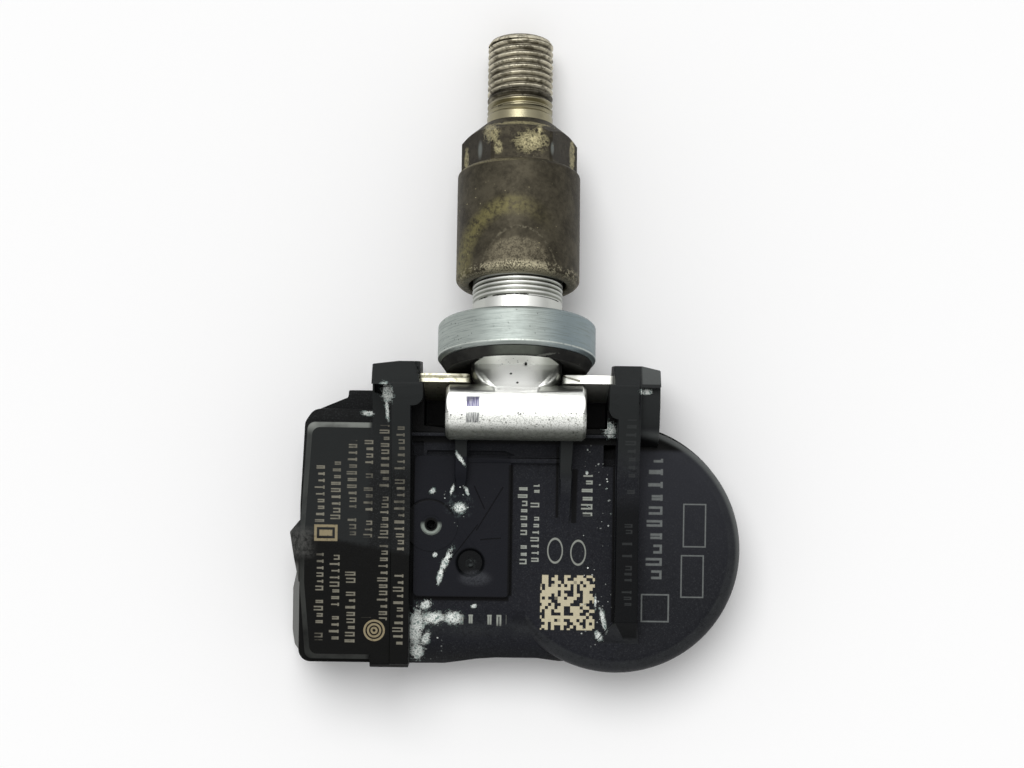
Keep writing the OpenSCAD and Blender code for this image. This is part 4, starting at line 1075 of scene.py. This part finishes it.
# Painted highlight along the middle of each turn and painted shade between turns.
turn = (f.where[longest] * (1 / WIRE)).math("FRACT")
turn = (turn - 0.5).math("ABSOLUTE").rise(0.5, 0.1)
f.colour = f.mix(shade(74, 36, 16), shade(196, 112, 58), turn * (0.6 + 0.5 * f.noise(0.9)))
f.paint(colour=f.colour, roughness=0.3 + 0.2 * f.noise(0.6))
f.relief((turn, 0.04))

package = Finish("moulded chip package", Specular_IOR_Level=0.3)
f = package
speck = f.noise(0.12, detail=5, rough=0.8)
f.colour = f.mix(shade(30, 30, 33), shade(58, 58, 62), speck.rise(0.4, 0.8))
f.paint(colour=f.colour, roughness=0.4 + 0.3 * speck)
f.relief((speck, 0.02))

inner = {
    "core_barrel": brass, "core_pin": brass, "core_gasket": white, "core_cup": seal_finish,
    "core_spring": wire, "circuit_board": board, "battery_cell": can, "battery_tab_top": nickel,
    "battery_tab_bottom": nickel, "sensor_chip": package, "port_gasket": grey, "coil_core": ferrite,
    "coil_winding": winding, "rf_antenna": bronze, "crystal": lid, "chip_components": ceramic}
for node, finish in inner.items():
    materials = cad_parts[node].data.materials
    materials.clear()
    materials.append(finish.material)
print("inner parts finished:", len(inner))

# %% Settle the pieces
BLOCK_END = -12.05
DECK_END = 11.75

settle(stem_turned, "stem", "valve_stem", stem_finish)
settle(ring_turned, "stem", "seal_ring", ring_finish)
settle(rubber_sleeve, "stem", "seal_rubber", seal_finish)
settle(nut_shell, "nut", "valve_nut", nut_finish)
settle(box_shell, "sensor_box", "housing", deck_plastic)
for finish in (pad_plastic, left_plastic, end_plastic):
    box_shell.data.materials.append(finish.material)
for face in box_shell.data.polygons:
    side = face.center.x / MM
    face.material_index = 2 if side < BLOCK_END else 1 if side < PAD_END else 0 if side < DECK_END else 3
settle(base_plate, "sensor_box", "base_cover", cover_finish)
settle(clip_plate, "sensor_box", "retaining_clip", clip_finish)

# %% [markdown]
# ## Light and floor
# One wide soft lamp high up toward the tip, the pale sky round it, and a white floor that takes
# the shadow. Each is at a level at which a colour renders about as it is written. The camera and
# mirrored rays see the sky brighter overhead than at the horizon. Its light is even.

# %% Sky
EVEN = 0.55
HORIZON = 0.5
OVERHEAD = 1.0

world = bpy.data.worlds.new("sky")
bpy.context.scene.world = world
world.use_nodes = True
tree = world.node_tree
ray = tree.nodes.new("ShaderNodeLightPath")
seen = [ray.outputs["Is " + kind + " Ray"] for kind in ("Camera", "Glossy", "Transmission")]
for _ in range(2):
    either = tree.nodes.new("ShaderNodeMath")
    either.operation = "MAXIMUM"
    tree.links.new(seen.pop(), either.inputs[0])
    tree.links.new(seen.pop(), either.inputs[1])
    seen.append(either.outputs[0])
direction = tree.nodes.new("ShaderNodeTexCoord")
height = tree.nodes.new("ShaderNodeSeparateXYZ")
tree.links.new(direction.outputs["Generated"], height.inputs[0])
pale = tree.nodes.new("ShaderNodeMapRange")
pale.interpolation_type = "SMOOTHSTEP"
tree.links.new(height.outputs["Z"], pale.inputs["Value"])
for socket, number in (("From Min", 0), ("From Max", 0.9), ("To Min", HORIZON), ("To Max", OVERHEAD)):
    pale.inputs[socket].default_value = number
level = tree.nodes.new("ShaderNodeMix")
tree.links.new(seen[0], level.inputs[0])
level.inputs[2].default_value = EVEN
tree.links.new(pale.outputs[0], level.inputs[3])
sky = tree.nodes["Background"]
tree.links.new(level.outputs[0], sky.inputs["Strength"])
sky.inputs["Color"].default_value = (1, 1, 1, 1)
print("sky ready")

# %% Lamp and floor
AIM = (math.radians(-25), math.radians(-8), 0)
STRENGTH = 1.6
WIDTH = math.radians(38)
BELOW = 0.00003  # the floor lies this far under the base, in metres
PAPER = 0.98

bpy.ops.object.select_all(action="DESELECT")
bpy.ops.object.light_add(type="SUN", rotation=AIM)
lamp = bpy.context.object
lamp.data.energy = STRENGTH
lamp.data.angle = WIDTH

bpy.ops.object.select_all(action="DESELECT")
bpy.ops.mesh.primitive_plane_add(size=4, location=(0, 0, -BELOW))
floor = bpy.context.object
floor.name = "floor"
floor_finish = Finish("white paper", Roughness=0.9, Specular_IOR_Level=0.1)
floor_finish.shader.inputs["Base Color"].default_value = (PAPER, PAPER, PAPER, 1)
floor.data.materials.append(floor_finish.material)

# %% View transform
bpy.context.scene.view_settings.view_transform = "Standard"
